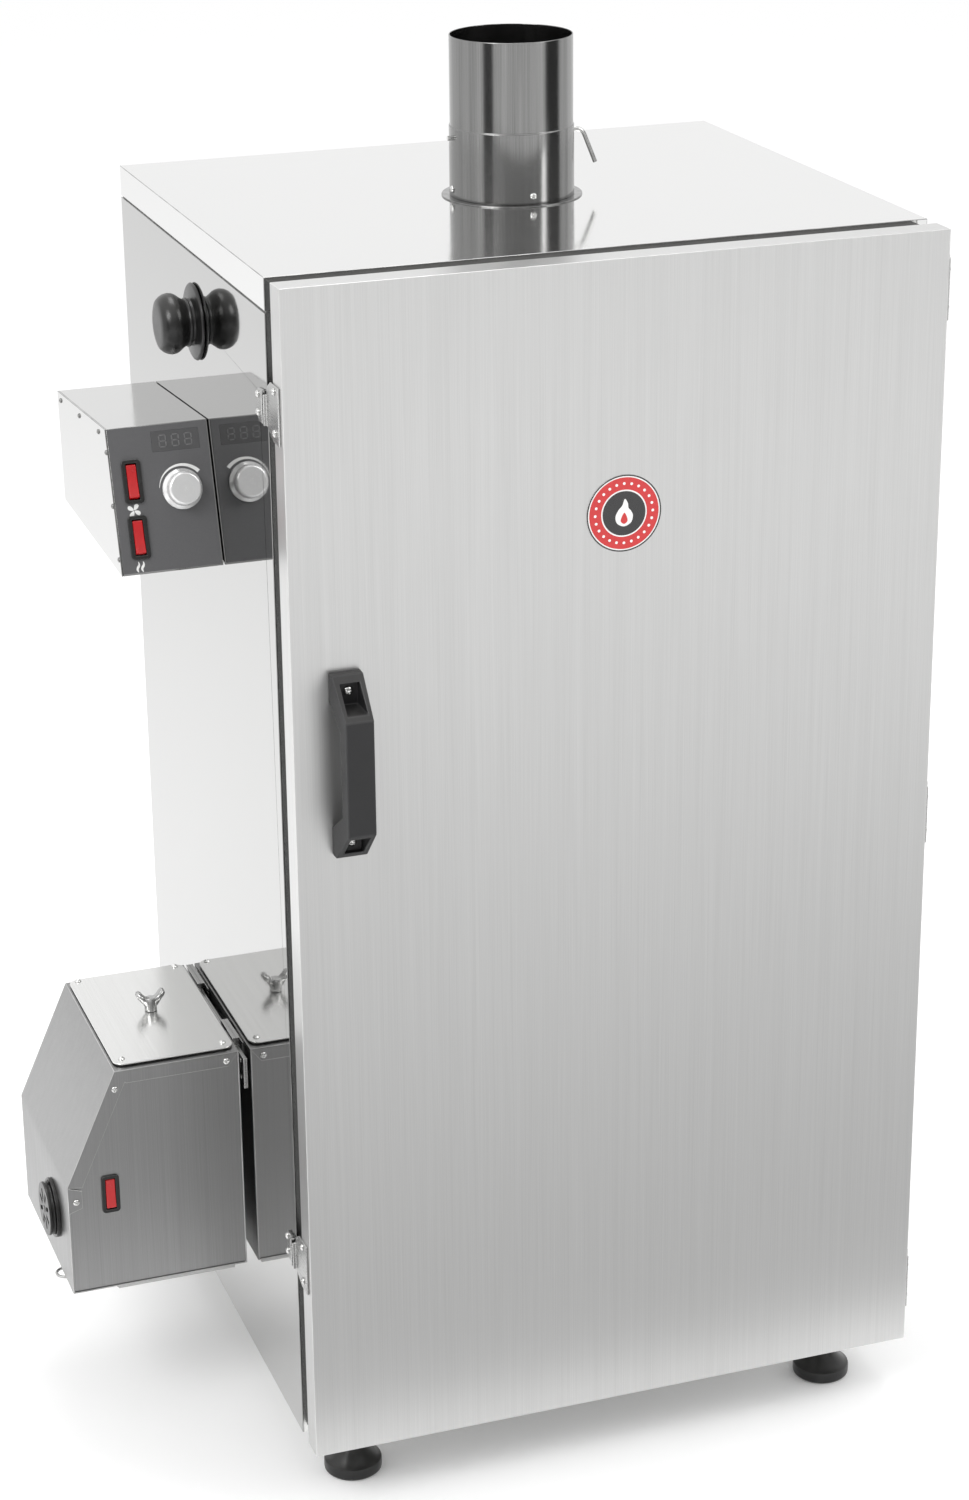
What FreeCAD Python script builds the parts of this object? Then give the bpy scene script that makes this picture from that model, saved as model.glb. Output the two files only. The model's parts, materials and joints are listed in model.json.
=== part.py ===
import FreeCAD, Part
import math
import os

os.makedirs("parts", exist_ok=True)
V = FreeCAD.Vector

# An electric cabinet smoker: an insulated steel cabinet with a side-hung door, a flue with a
# damper on the roof, and a temperature controller, a port stopper and a wood-chip smoke
# generator on its left wall. Lengths are millimetres. The layout frame has its origin at the
# closed door's lower front left corner, X to the right, Y to the back and Z up. The model is
# moved at the end so that its origin is the middle of its footprint, on the floor.

# ---------------------------------------------------------------- driving dimensions
WIDTH = 540.0
DOOR_HEIGHT = 988.3
DOOR_DEPTH = 23.4
DOOR_GAP = 16.5
CABINET_DEPTH = 446.7
WALL = 26.0
SHEET = 1.2
LINER = 0.8
SKIRT = 25.4
SEAM = 1.5
FOOT_HEIGHT = 58.8
FLUE_RADIUS = 50.0
FLUE_HEIGHT = 129.3
PLAY = 0.05
CLEAR = 0.3
NEST = 0.1
BEYOND = 5.0

CABINET_FRONT = DOOR_DEPTH + DOOR_GAP
CABINET_BACK = CABINET_FRONT + CABINET_DEPTH
WALL_TOP = DOOR_HEIGHT - SKIRT - SEAM
CHAMBER_LEFT = WALL + LINER
CHAMBER_RIGHT = WIDTH - WALL - LINER
CHAMBER_BACK = CABINET_BACK - WALL + LINER
CHAMBER_FLOOR = WALL + LINER
CHAMBER_TOP = 936.0

# Left-wall fittings
STANDOFF = 0.6
BOX_LEFT = -84.0
BOX_PROFILE = [(186.1, 722.2), (221.9, 833.9), (395.5, 821.8), (388.6, 728.7)]
GEN_RIGHT = -5.0
GEN_LEFT = -159.0
GEN_FRONT = 184.1
GEN_BACK = 369.4
GEN_TOP = 290.3
GEN_BOTTOM = 86.0
GEN_SHOULDER = (-113.1, 187.7)
PORT_Y = 246.0
PORT_Z = 908.0
PORT_RADIUS = 20.5
PORT_SLEEVE = 1.5
SMOKE_Y = 277.0
SMOKE_Z = 205.0
SMOKE_RADIUS = 21.0
SMOKE_SLEEVE = 1.0
PROBE_Y = 300.0
PROBE_Z = 790.0
PROBE_RADIUS = 3.0
VALVE_Y = 245.0
VALVE_Z = 139.0
VALVE_REACH = 9.5

# Roof
FLUE_X = 270.4
FLUE_Y = 251.7
FLUE_TOP = DOOR_HEIGHT + FLUE_HEIGHT
SPIGOT_RADIUS = FLUE_RADIUS - 1.5
DAMPER_Z = DOOR_HEIGHT + 49.0
DAMPER_RADIUS = 2.0

# Door furniture
HANDLE_LEFT = 28.9
HANDLE_WIDTH = 26.2
HANDLE_MIDDLE = 614.6
HANDLE_LENGTH = 150.0
HANDLE_REACH = 38.0
HANDLE_SCREWS = 62.0
HANDLE_SCREW = 2.0
HANDLE_END = 28.5
HANDLE_SEAT = 8.0
BADGE_X = 269.6
BADGE_Z = 789.3
BADGE_RADIUS = 30.8
HINGE_X = WIDTH + 3.8
HINGE_Y = 14.0
HINGE_RADIUS = 3.5
HINGE_PIN = 2.0
HINGE_HEIGHT = 50.0
HINGE_MIDDLES = (940.4, 497.9, 56.2)
HINGE_LEAF = 2.0
HINGE_SCREWS = 15.0
CATCH_MIDDLES = (888.8, 171.8)
CATCH_PLATE = 1.6
KEEPER = 1.8

# Inside
RACK_LEVELS = (240.0, 370.0, 500.0, 630.0, 760.0)
FOOT_RADIUS = 24.8
FOOT_INSET_X = 50.1
FOOT_INSET_Y = 23.2
STEM_RADIUS = 5.0
BOSS_RADIUS = 10.0
BOSS_HEIGHT = 14.0
STEM_TOP = 17.0
FEET = [
    (FOOT_INSET_X, CABINET_FRONT + FOOT_INSET_Y),
    (WIDTH - FOOT_INSET_X, CABINET_FRONT + FOOT_INSET_Y),
    (FOOT_INSET_X, CABINET_BACK - FOOT_INSET_Y),
    (WIDTH - FOOT_INSET_X, CABINET_BACK - FOOT_INSET_Y),
]

# Footprint of the whole object, from which the origin is worked out
REACH_LEFT = GEN_LEFT - VALVE_REACH
REACH_RIGHT = HINGE_X + HINGE_RADIUS
REACH_FRONT = -HANDLE_REACH
REACH_BACK = CABINET_BACK - FOOT_INSET_Y + FOOT_RADIUS
TO_ORIGIN = V(-(REACH_LEFT + REACH_RIGHT) / 2, -(REACH_FRONT + REACH_BACK) / 2, FOOT_HEIGHT)


# ---------------------------------------------------------------- helpers
def box(x0, x1, y0, y1, z0, z1):
    return Part.makeBox(x1 - x0, y1 - y0, z1 - z0, V(x0, y0, z0))


def rod_x(x0, x1, y, z, radius):
    return Part.makeCylinder(radius, x1 - x0, V(x0, y, z), V(1, 0, 0))


def rod_y(y0, y1, x, z, radius):
    return Part.makeCylinder(radius, y1 - y0, V(x, y0, z), V(0, 1, 0))


def rod_z(z0, z1, x, y, radius):
    return Part.makeCylinder(radius, z1 - z0, V(x, y, z0), V(0, 0, 1))


def outline(points):
    return Part.Face(Part.makePolygon(points + [points[0]]))


def slab_x(profile, x0, x1):
    """A plate from a (y, z) outline, between two values of x."""
    return outline([V(x0, y, z) for y, z in profile]).extrude(V(x1 - x0, 0, 0))


def slab_y(profile, y0, y1):
    """A plate from an (x, z) outline, between two values of y."""
    return outline([V(x, y0, z) for x, z in profile]).extrude(V(0, y1 - y0, 0))


def slab_z(profile, z0, z1):
    """A plate from an (x, y) outline, between two values of z."""
    return outline([V(x, y, z0) for x, y in profile]).extrude(V(0, 0, z1 - z0))


def shrink(profile, distance):
    """The convex outline moved inwards by a distance."""
    middle_a = sum(a for a, b in profile) / len(profile)
    middle_b = sum(b for a, b in profile) / len(profile)
    lines = []
    for i, (a0, b0) in enumerate(profile):
        a1, b1 = profile[(i + 1) % len(profile)]
        length = math.hypot(a1 - a0, b1 - b0)
        na, nb = (b1 - b0) / length, (a0 - a1) / length
        if na * (middle_a - a0) + nb * (middle_b - b0) < 0:
            na, nb = -na, -nb
        lines.append((na, nb, na * a0 + nb * b0 + distance))
    moved = []
    for i in range(len(lines)):
        na, nb, c = lines[i - 1]
        ma, mb, d = lines[i]
        det = na * mb - nb * ma
        moved.append(((c * mb - d * nb) / det, (na * d - ma * c) / det))
    return moved


def round_edges(shape, direction, radius):
    """Round the edges that run along a direction."""
    chosen = []
    for edge in shape.Edges:
        if len(edge.Vertexes) == 2:
            run = edge.Vertexes[1].Point - edge.Vertexes[0].Point
            if run.cross(direction).Length < 0.001 * run.Length:
                chosen.append(edge)
    return shape.makeFillet(radius, chosen)


def turn(profile):
    """Spin a closed (radius, height) outline about Z. A triple of points is an arc."""
    edges = []
    for piece in profile:
        points = [V(r, 0, h) for r, h in piece]
        if len(points) == 3:
            edges.append(Part.Arc(points[0], points[1], points[2]).toShape())
        else:
            edges.append(Part.makeLine(points[0], points[1]))
    face = Part.Face(Part.Wire(edges))
    return face.revolve(V(0, 0, 0), V(0, 0, 1), 360)


def place(shape, position, direction):
    """A copy whose own +Z looks along a direction and whose origin is at a position."""
    copy = shape.copy()
    copy.Placement = FreeCAD.Placement(position, FreeCAD.Rotation(V(0, 0, 1), direction))
    return copy


def bent_rod(points, radius, bend):
    """A round rod through points, with an arc of the given radius at each inner point."""
    edges = []
    start = points[0]
    for before, corner, after in zip(points, points[1:], points[2:]):
        back = (before - corner).normalize()
        ahead = (after - corner).normalize()
        half = math.acos(back.dot(ahead)) / 2
        cut = bend / math.tan(half)
        first = corner + back * cut
        last = corner + ahead * cut
        inward = (back + ahead).normalize()
        middle = corner + inward * (bend / math.sin(half) - bend)
        edges.append(Part.makeLine(start, first))
        edges.append(Part.Arc(first, middle, last).toShape())
        start = last
    edges.append(Part.makeLine(start, points[-1]))
    path = Part.Wire(edges)
    along = (points[1] - points[0]).normalize()
    section = Part.Wire(Part.makeCircle(radius, points[0], along))
    return path.makePipeShell([section], True, False)


def cut_all(shape, tools):
    return shape.cut(Part.makeCompound(tools))


def join(shapes):
    return shapes[0].multiFuse(shapes[1:]).removeSplitter()


def save(node, shapes):
    """Write one node from one solid, or from a group of separate solids."""
    group = shapes if isinstance(shapes, list) else [shapes]
    whole = group[0].copy() if len(group) == 1 else Part.makeCompound(group)
    whole.translate(TO_ORIGIN)
    whole.exportStep("parts/" + node + ".step")


def cap(radius, low, high):
    """A dome's outline, from a rim of the given radius up to the axis."""
    rise = high - low
    sphere = (radius ** 2 + rise ** 2) / (2 * rise)
    half = math.asin(radius / sphere) / 2
    return [(radius, low), (sphere * math.sin(half), high - sphere * (1 - math.cos(half))), (0, high)]


def screw(head_radius, head_height, shank_radius, length):
    """A domed screw with a cross recess, its head's underside at the origin."""
    edge = 0.35 * head_height
    body = turn([
        [(0, -length), (shank_radius, -length)],
        [(shank_radius, -length), (shank_radius, 0)],
        [(shank_radius, 0), (head_radius, 0)],
        [(head_radius, 0), (head_radius, edge)],
        cap(head_radius, edge, head_height),
        [(0, head_height), (0, -length)],
    ])
    arm = 0.55 * head_radius
    slot = 0.13 * head_radius
    low = 0.45 * head_height
    cross = join([
        box(-arm, arm, -slot, slot, low, head_height + 1),
        box(-slot, slot, -arm, arm, low, head_height + 1),
    ])
    return body.cut(cross)


def rivet(radius, height, length):
    """A domed rivet with its head's underside at the origin."""
    shank = 0.5 * radius
    return turn([
        [(0, -length), (shank, -length)],
        [(shank, -length), (shank, 0)],
        [(shank, 0), (radius, 0)],
        cap(radius, 0, height),
        [(0, height), (0, -length)],
    ])


def holes(points, direction, radius, reach):
    """Drills for a list of points, running a reach both ways along a direction."""
    return [Part.makeCylinder(radius, 2 * reach, p - direction * reach, direction) for p in points]


LEFT = V(-1, 0, 0)
RIGHT = V(1, 0, 0)
FORWARD = V(0, -1, 0)
UP = V(0, 0, 1)
SMALL_SCREW = screw(3.0, 2.0, 1.5, 5.0)
THREAD = 1.5 + PLAY
WALL_RIVET = rivet(2.5, 1.3, 5.0)
RIVET_HOLE = 1.3
DRILL = 8.0


# ---------------------------------------------------------------- places of the fasteners
hinge_body_screws = []
hinge_door_screws = []
for middle in HINGE_MIDDLES:
    for side in (-1, 1):
        height = middle + side * HINGE_SCREWS
        hinge_body_screws.append(V(WIDTH + HINGE_LEAF, CABINET_FRONT + 13.0, height))
        hinge_door_screws.append(V(WIDTH + HINGE_LEAF, 5.8, height))

keeper_screws = []
catch_screws = []
for middle in CATCH_MIDDLES:
    for side in (-1, 1):
        keeper_screws.append(V(-KEEPER, CABINET_FRONT + 19.6, middle + side * 7.0))
        catch_screws.append(V(-CATCH_PLATE, 16.0, middle + 3.4 + side * 15.9))

RAIL = 1.6
hanger_rivets = [V(-RAIL, 300.0, 268.0), V(-RAIL, 193.0, 277.0), V(-RAIL, 193.0, 262.0)]

# Nodes that gather pieces from more than one function
cabinet_fixings = []
switch_cases = []
power_inlets = []
wall_sleeves = []
wall_brackets = []
heaters = []


# ---------------------------------------------------------------- cabinet shell
def wall_drill(y, z, radius):
    """A hole through the whole thickness of the left wall."""
    return rod_x(-BEYOND, WALL + BEYOND, y, z, radius)


def cabinet_shell():
    through = [
        wall_drill(PORT_Y, PORT_Z, PORT_RADIUS + PORT_SLEEVE + PLAY),
        wall_drill(SMOKE_Y, SMOKE_Z, SMOKE_RADIUS + SMOKE_SLEEVE + PLAY),
        wall_drill(PROBE_Y, PROBE_Z, PROBE_RADIUS + PLAY),
    ]

    left = box(0, SHEET, CABINET_FRONT, CABINET_BACK, 0, WALL_TOP)
    fastener_holes = holes(keeper_screws, RIGHT, THREAD, DRILL) + holes(hanger_rivets, RIGHT, RIVET_HOLE, DRILL)
    save("side_panel_left", cut_all(left, through + fastener_holes))

    right = box(WIDTH - SHEET, WIDTH, CABINET_FRONT, CABINET_BACK, 0, WALL_TOP)
    save("side_panel_right", cut_all(right, holes(hinge_body_screws, RIGHT, THREAD, DRILL)))

    save("back_panel", box(SHEET, WIDTH - SHEET, CABINET_BACK - SHEET, CABINET_BACK, 0, WALL_TOP))

    frame = box(SHEET, WIDTH - SHEET, CABINET_FRONT, CABINET_FRONT + SHEET, 0, WALL_TOP)
    mouth = box(CHAMBER_LEFT, CHAMBER_RIGHT, 0, CABINET_BACK, CHAMBER_FLOOR, CHAMBER_TOP)
    save("front_frame", frame.cut(mouth))

    inner_front = CABINET_FRONT + SHEET
    inner_back = CABINET_BACK - SHEET
    base = box(SHEET, WIDTH - SHEET, inner_front, inner_back, 0, SHEET)
    boss_top = SHEET + BOSS_HEIGHT
    stems = [rod_z(-BEYOND, BEYOND, x, y, STEM_RADIUS + 0.5) for x, y in FEET]
    base = cut_all(base, stems)
    bosses = []
    for x, y in FEET:
        boss = rod_z(SHEET, boss_top, x, y, BOSS_RADIUS)
        bosses.append(boss.cut(rod_z(0, boss_top + BEYOND, x, y, STEM_RADIUS + NEST)))
    save("base_panel", join([base] + bosses))

    # Roof: a folded cover, flush with the walls, on a hidden angle frame
    low = DOOR_HEIGHT - SKIRT
    cover = box(0, WIDTH, CABINET_FRONT, CABINET_BACK, low, DOOR_HEIGHT)
    inside = box(SHEET, WIDTH - SHEET, inner_front, inner_back, low - 1, DOOR_HEIGHT - SHEET)
    flue_hole = rod_z(CHAMBER_TOP - BEYOND, DOOR_HEIGHT + BEYOND, FLUE_X, FLUE_Y, SPIGOT_RADIUS + PLAY)
    save("top_cover", cover.cut(inside).cut(flue_hole))

    gap = SHEET + NEST
    inset = gap + SHEET
    frame_low = low - 18.0
    frame_top = DOOR_HEIGHT - 4.0
    outer = box(gap, WIDTH - gap, CABINET_FRONT + gap, CABINET_BACK - gap, frame_low, frame_top)
    hollow = box(inset, WIDTH - inset, CABINET_FRONT + inset, CABINET_BACK - inset, frame_low - 1, DOOR_HEIGHT)
    save("roof_frame", cut_all(outer.cut(hollow), holes(hinge_body_screws, RIGHT, THREAD, DRILL)))

    # Chamber liner
    sides = []
    for x in (WALL, CHAMBER_RIGHT):
        sides.append(box(x, x + LINER, inner_front, CHAMBER_BACK + LINER, CHAMBER_FLOOR, CHAMBER_TOP))
    legs = heater_leg_drills()
    sides[0] = cut_all(sides[0], through + legs)
    back = box(CHAMBER_LEFT, CHAMBER_RIGHT, CHAMBER_BACK, CHAMBER_BACK + LINER, CHAMBER_FLOOR, CHAMBER_TOP)
    floor = box(WALL, WIDTH - WALL, inner_front, CHAMBER_BACK + LINER, WALL, CHAMBER_FLOOR)
    ceiling = box(WALL, WIDTH - WALL, inner_front, CHAMBER_BACK + LINER, CHAMBER_TOP, CHAMBER_TOP + LINER)
    save("chamber_liner", sides + [back, floor, ceiling.cut(flue_hole)])

    # Mineral wool between the skins
    wool_front = inner_front + NEST
    wool_back = inner_back - NEST
    wool_left = SHEET + NEST
    wool_right = WIDTH - SHEET - NEST
    wool_top = CHAMBER_TOP + LINER - NEST
    left_wool = box(wool_left, WALL - NEST, wool_front, wool_back, WALL, wool_top)
    right_wool = box(WIDTH - WALL + NEST, wool_right, wool_front, wool_back, WALL, wool_top)
    back_wool = box(WALL, WIDTH - WALL, CHAMBER_BACK + LINER + NEST, wool_back, WALL, wool_top)
    floor_wool = box(wool_left, wool_right, wool_front, wool_back, wool_left, WALL - NEST)
    edge = 4.0
    roof_low = wool_top + 2 * NEST
    roof_high = DOOR_HEIGHT - 5.0
    roof_wool = box(edge, WIDTH - edge, CABINET_FRONT + edge, CABINET_BACK - edge, roof_low, roof_high)
    boss_holes = [rod_z(0, WALL, x, y, BOSS_RADIUS + 1.0) for x, y in FEET]
    # Room round the sleeves and the probe, and behind every screw and rivet that enters the wool
    drills = [
        wall_drill(PORT_Y, PORT_Z, PORT_RADIUS + PORT_SLEEVE + 0.5),
        wall_drill(SMOKE_Y, SMOKE_Z, SMOKE_RADIUS + SMOKE_SLEEVE + 1.0),
        wall_drill(PROBE_Y, PROBE_Z, PROBE_RADIUS + 1.0),
        box(-BEYOND, 12, 180, 310, 255, 285),
    ]
    notch_back = CABINET_FRONT + 60.0
    for low, high in ((850.0, 925.0), (140.0, 205.0)):
        drills.append(box(-BEYOND, WALL + BEYOND, CABINET_FRONT, notch_back, low, high))
    left_wool = cut_all(left_wool, drills + legs)
    notches = []
    notch_half = 22.0
    for middle in HINGE_MIDDLES:
        low = middle - notch_half
        high = middle + notch_half
        notches.append(box(WIDTH - 12, WIDTH, CABINET_FRONT, CABINET_FRONT + notch_half, low, high))
    wool = [
        left_wool,
        cut_all(right_wool, notches),
        back_wool,
        cut_all(floor_wool, boss_holes),
        roof_wool.cut(rod_z(CHAMBER_TOP, DOOR_HEIGHT, FLUE_X, FLUE_Y, FLUE_RADIUS)),
    ]
    save("wall_insulation", wool)


# ---------------------------------------------------------------- chamber contents
HEATER_Z = 62.0
HEATER_RADIUS = 4.0
HEATER_LEGS = (170.0, 330.0)
HEATER_START = 10.0
HEATER_END = 430.0
HEATER_BEND = 60.0
LEDGE = 12.0
RACK_FRONT = 62.0
RACK_BACK = 438.0
RACK_WIRES = 18
FRAME_WIRE = 3.0
MIDDLE_WIRE = 2.0
GRID_WIRE = 1.5
TRAY = (45.0, 495.0, 70.0, 430.0, 96.0, 112.0)
TRAY_SHEET = 1.2
TRAY_LEG = 10.0


def heater_leg_drills():
    start = HEATER_START - 2.0
    return [rod_x(start, WALL + BEYOND, y, HEATER_Z, HEATER_RADIUS + 0.5) for y in HEATER_LEGS]


def chamber_contents():
    ledges = []
    for level in RACK_LEVELS:
        for x in (CHAMBER_LEFT, CHAMBER_RIGHT - LEDGE):
            ledges.append(box(x, x + LEDGE, RACK_FRONT - 2, RACK_BACK + 2, level - 2, level))
    save("rack_rails", ledges)

    left = CHAMBER_LEFT + 5.0
    right = CHAMBER_RIGHT - 5.0
    middle = (RACK_FRONT + RACK_BACK) / 2
    bars = [
        rod_x(left, right, RACK_FRONT, FRAME_WIRE, FRAME_WIRE),
        rod_x(left, right, RACK_BACK, FRAME_WIRE, FRAME_WIRE),
        rod_y(RACK_FRONT, RACK_BACK, left, FRAME_WIRE, FRAME_WIRE),
        rod_y(RACK_FRONT, RACK_BACK, right, FRAME_WIRE, FRAME_WIRE),
        rod_x(left, right, middle, FRAME_WIRE, MIDDLE_WIRE),
    ]
    for corner_x in (left, right):
        for corner_y in (RACK_FRONT, RACK_BACK):
            bars.append(Part.makeSphere(FRAME_WIRE, V(corner_x, corner_y, FRAME_WIRE)))
    pitch = (right - left) / (RACK_WIRES + 1)
    grid_z = FRAME_WIRE + 1.2
    for i in range(RACK_WIRES):
        bars.append(rod_y(RACK_FRONT, RACK_BACK, left + (i + 1) * pitch, grid_z, GRID_WIRE))
    rack = join(bars)
    racks = []
    for level in RACK_LEVELS:
        copy = rack.copy()
        copy.translate(V(0, 0, level))
        racks.append(copy)
    save("smoke_racks", racks)

    x0, x1, y0, y1, tray_low, tray_top = TRAY
    wall = TRAY_SHEET
    tray = box(x0, x1, y0, y1, tray_low, tray_top)
    tray = tray.cut(box(x0 + wall, x1 - wall, y0 + wall, y1 - wall, tray_low + wall, tray_top + BEYOND))
    legs = []
    for x in (x0 + 15, x1 - 25):
        for y in (y0 + 15, y1 - 25):
            legs.append(box(x, x + TRAY_LEG, y, y + TRAY_LEG, CHAMBER_FLOOR, tray_low))
    save("drip_tray", join([tray] + legs))

    first, last = HEATER_LEGS
    heaters.append(bent_rod([
        V(HEATER_START, first, HEATER_Z),
        V(HEATER_END, first, HEATER_Z),
        V(HEATER_END, last, HEATER_Z),
        V(HEATER_START, last, HEATER_Z),
    ], HEATER_RADIUS, HEATER_BEND))


# ---------------------------------------------------------------- flue and damper
SPIGOT_TOP = DOOR_HEIGHT + 16.0
FLANGE_TOP = DOOR_HEIGHT + 1.0
FLUE_SCREW_Z = DOOR_HEIGHT + 7.5
FLANGE_RADIUS = 57.4
FLUE_SHEET = 1.0
COMPASS = (V(0, -1, 0), V(-1, 0, 0), V(0, 1, 0), V(1, 0, 0))
LEVER_BEND = 7.0
DISC_RADIUS = 46.5
DISC_PIN = 1.0


def flue():
    axis = (FLUE_X, FLUE_Y)
    # The lower stretch is a socket, one sheet larger than the pipe that stands in it
    lower_radius = FLUE_RADIUS + 0.8
    socket_low = DAMPER_Z + 8.0
    flange = rod_z(DOOR_HEIGHT, FLANGE_TOP, *axis, FLANGE_RADIUS)
    spigot = rod_z(CHAMBER_TOP, SPIGOT_TOP, *axis, SPIGOT_RADIUS)
    bore = rod_z(CHAMBER_TOP - 1, SPIGOT_TOP + 1, *axis, SPIGOT_RADIUS - FLUE_SHEET)
    drills = []
    for way in COMPASS:
        seat = V(FLUE_X, FLUE_Y, FLUE_SCREW_Z) + way * lower_radius
        drills.append(Part.makeCylinder(THREAD, 12, seat - way * 6, way))
        cabinet_fixings.append(place(SMALL_SCREW, seat, way))
    collar = cut_all(flange.fuse(spigot).cut(bore), drills)
    save("flue_collar", collar)

    pipe = rod_z(FLANGE_TOP, socket_low, *axis, lower_radius)
    pipe = pipe.fuse(rod_z(socket_low, FLUE_TOP, *axis, FLUE_RADIUS))
    pipe = pipe.cut(rod_z(FLANGE_TOP - 1, FLUE_TOP + 1, *axis, FLUE_RADIUS - FLUE_SHEET))
    rod_holes = rod_x(FLUE_X - 60, FLUE_X + 60, FLUE_Y, DAMPER_Z, DAMPER_RADIUS + PLAY)
    save("flue_pipe", cut_all(pipe, drills + [rod_holes]))

    rivet_places = [V(FLUE_X - 24, FLUE_Y, DAMPER_Z), V(FLUE_X + 24, FLUE_Y, DAMPER_Z)]
    rivet_holes = holes(rivet_places, V(0, 1, 0), DISC_PIN, 6)
    lever = bent_rod([
        V(FLUE_X - 54.8, FLUE_Y, DAMPER_Z),
        V(FLUE_X + 61.1, FLUE_Y, DAMPER_Z),
        V(FLUE_X + 72.6, FLUE_Y, DAMPER_Z - 28),
    ], DAMPER_RADIUS, LEVER_BEND)
    save("damper_rod", cut_all(lever, rivet_holes))
    disc_front = FLUE_Y + DAMPER_RADIUS
    disc_back = disc_front + 1.0
    disc = rod_y(disc_front, disc_back, FLUE_X, DAMPER_Z, DISC_RADIUS)
    pins = []
    for spot in rivet_places:
        pin = rod_y(FLUE_Y - DAMPER_RADIUS, disc_back, spot.x, DAMPER_Z, DISC_PIN)
        head = rod_y(disc_back, disc_back + 1.0, spot.x, DAMPER_Z, 2 * DISC_PIN)
        pins.append(pin.fuse(head))
    save("damper_disc", [cut_all(disc, rivet_holes)] + pins)


# ---------------------------------------------------------------- port in the left wall
def port():
    sleeve = rod_x(0, CHAMBER_LEFT, PORT_Y, PORT_Z, PORT_RADIUS + PORT_SLEEVE)
    wall_sleeves.append(sleeve.cut(wall_drill(PORT_Y, PORT_Z, PORT_RADIUS)))

    # Spun about Z with its plug downwards, then laid on its side
    knob = turn([
        [(0, -20), (17, -20)],
        [(17, -20), (19.4, -1)],
        [(19.4, -1), (19.4, CLEAR)],
        [(19.4, CLEAR), (30, CLEAR)],
        [(30, CLEAR), (31, 1.6), (30, 3.0)],
        [(30, 3.0), (19.0, 4.0)],
        [(19.0, 4.0), (18.4, 6.6)],
        [(18.4, 6.6), (19.6, 7.2), (19.6, 8.6)],
        [(19.6, 8.6), (18.6, 9.4)],
        [(18.6, 9.4), (19.6, 12.0), (21.6, 14.4)],
        [(21.6, 14.4), (24.4, 21.6), (21.5, 29.0)],
        [(21.5, 29.0), (19.8, 31.1), (16.8, 31.8)],
        [(16.8, 31.8), (0, 31.8)],
        [(0, 31.8), (0, -20)],
    ])
    save("port_stopper", place(knob, V(0, PORT_Y, PORT_Z), LEFT))


# ---------------------------------------------------------------- rocker switches
SWITCH_LENGTH = 35.0
SWITCH_WIDTH = 15.6
ROCKER_WIDTH = 8.2
ROCKER_SWING = 14.2
PIVOT_DEPTH = 4.0
CASE_HALF_WIDTH = 6.3
CASE_HALF_LENGTH = 15.6
CASE_DEPTH = 15.0
BEZEL = 1.8
PIN_REACH = 6.0


def switch_cutout(slack):
    half_width = CASE_HALF_WIDTH + slack
    half_length = CASE_HALF_LENGTH + slack
    return box(-half_width, half_width, -half_length, half_length, -30, 30)


def switch_body():
    """The switch's case at the origin, its length along Y and its face towards +Z."""
    bezel = box(-SWITCH_WIDTH / 2, SWITCH_WIDTH / 2, -SWITCH_LENGTH / 2, SWITCH_LENGTH / 2, 0, BEZEL)
    bezel = round_edges(bezel, UP, 3.2)
    case = box(-CASE_HALF_WIDTH, CASE_HALF_WIDTH, -CASE_HALF_LENGTH, CASE_HALF_LENGTH, -CASE_DEPTH, 0.5)
    well = ROCKER_WIDTH / 2 + CLEAR
    cavity = box(-well, well, -ROCKER_SWING - CLEAR, ROCKER_SWING + CLEAR, -12.5, 5)
    pins = [box(-2.4, 2.4, y, y + 0.8, -CASE_DEPTH - PIN_REACH, -CASE_DEPTH) for y in (-10, 0, 10)]
    return join([bezel, case] + pins).cut(cavity)


def rocker():
    """The rocker about its pivot, pressed in at its upper end."""
    half = ROCKER_WIDTH / 2
    drum = rod_x(-half, half, 0, -PIVOT_DEPTH, ROCKER_SWING)
    keep = slab_x([(-16, -7.5), (-16, 3.6), (0, 1.5), (16, 1.1), (16, -7.5)], -half, half)
    return drum.common(keep)


def mount_on(shape, position, up):
    """Move a piece made in its own frame onto a face that leans along X."""
    normal = RIGHT.cross(up)
    copy = shape.copy()
    copy.Placement = FreeCAD.Placement(position, FreeCAD.Rotation(RIGHT, up, normal, "XYZ"))
    return copy


# ---------------------------------------------------------------- temperature controller
BOX_FOOT = V(0, BOX_PROFILE[0][0], BOX_PROFILE[0][1])
BOX_SLOPE = V(0, BOX_PROFILE[1][0] - BOX_PROFILE[0][0], BOX_PROFILE[1][1] - BOX_PROFILE[0][1])
BOX_FACE = BOX_SLOPE.Length
BOX_SLOPE.normalize()
BOX_NORMAL = RIGHT.cross(BOX_SLOPE)
LABEL = 0.8
KNOB_X = -27.4
KNOB_UP = 64.2
SWITCH_X = -66.8
FAN_SWITCH_UP = 73.9
HEAT_SWITCH_UP = 29.5
DISPLAY_X = -28.2
DISPLAY_UP = 103.5
SHAFT_RADIUS = 3.0
BOARD_LOW = -26.0
BOARD_TOP = -24.4
COVER_SCREW = 1.0
COVER_SCREW_PLACES = [
    (383.0, 816.4), (313.0, 821.4), (244.0, 826.2), (219.2, 815.5), (205.8, 775.0), (192.6, 734.5),
]
BLOCK_HALF = 7.0


def on_face(x, up, out):
    return BOX_FOOT + V(x, 0, 0) + BOX_SLOPE * up + BOX_NORMAL * out


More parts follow.
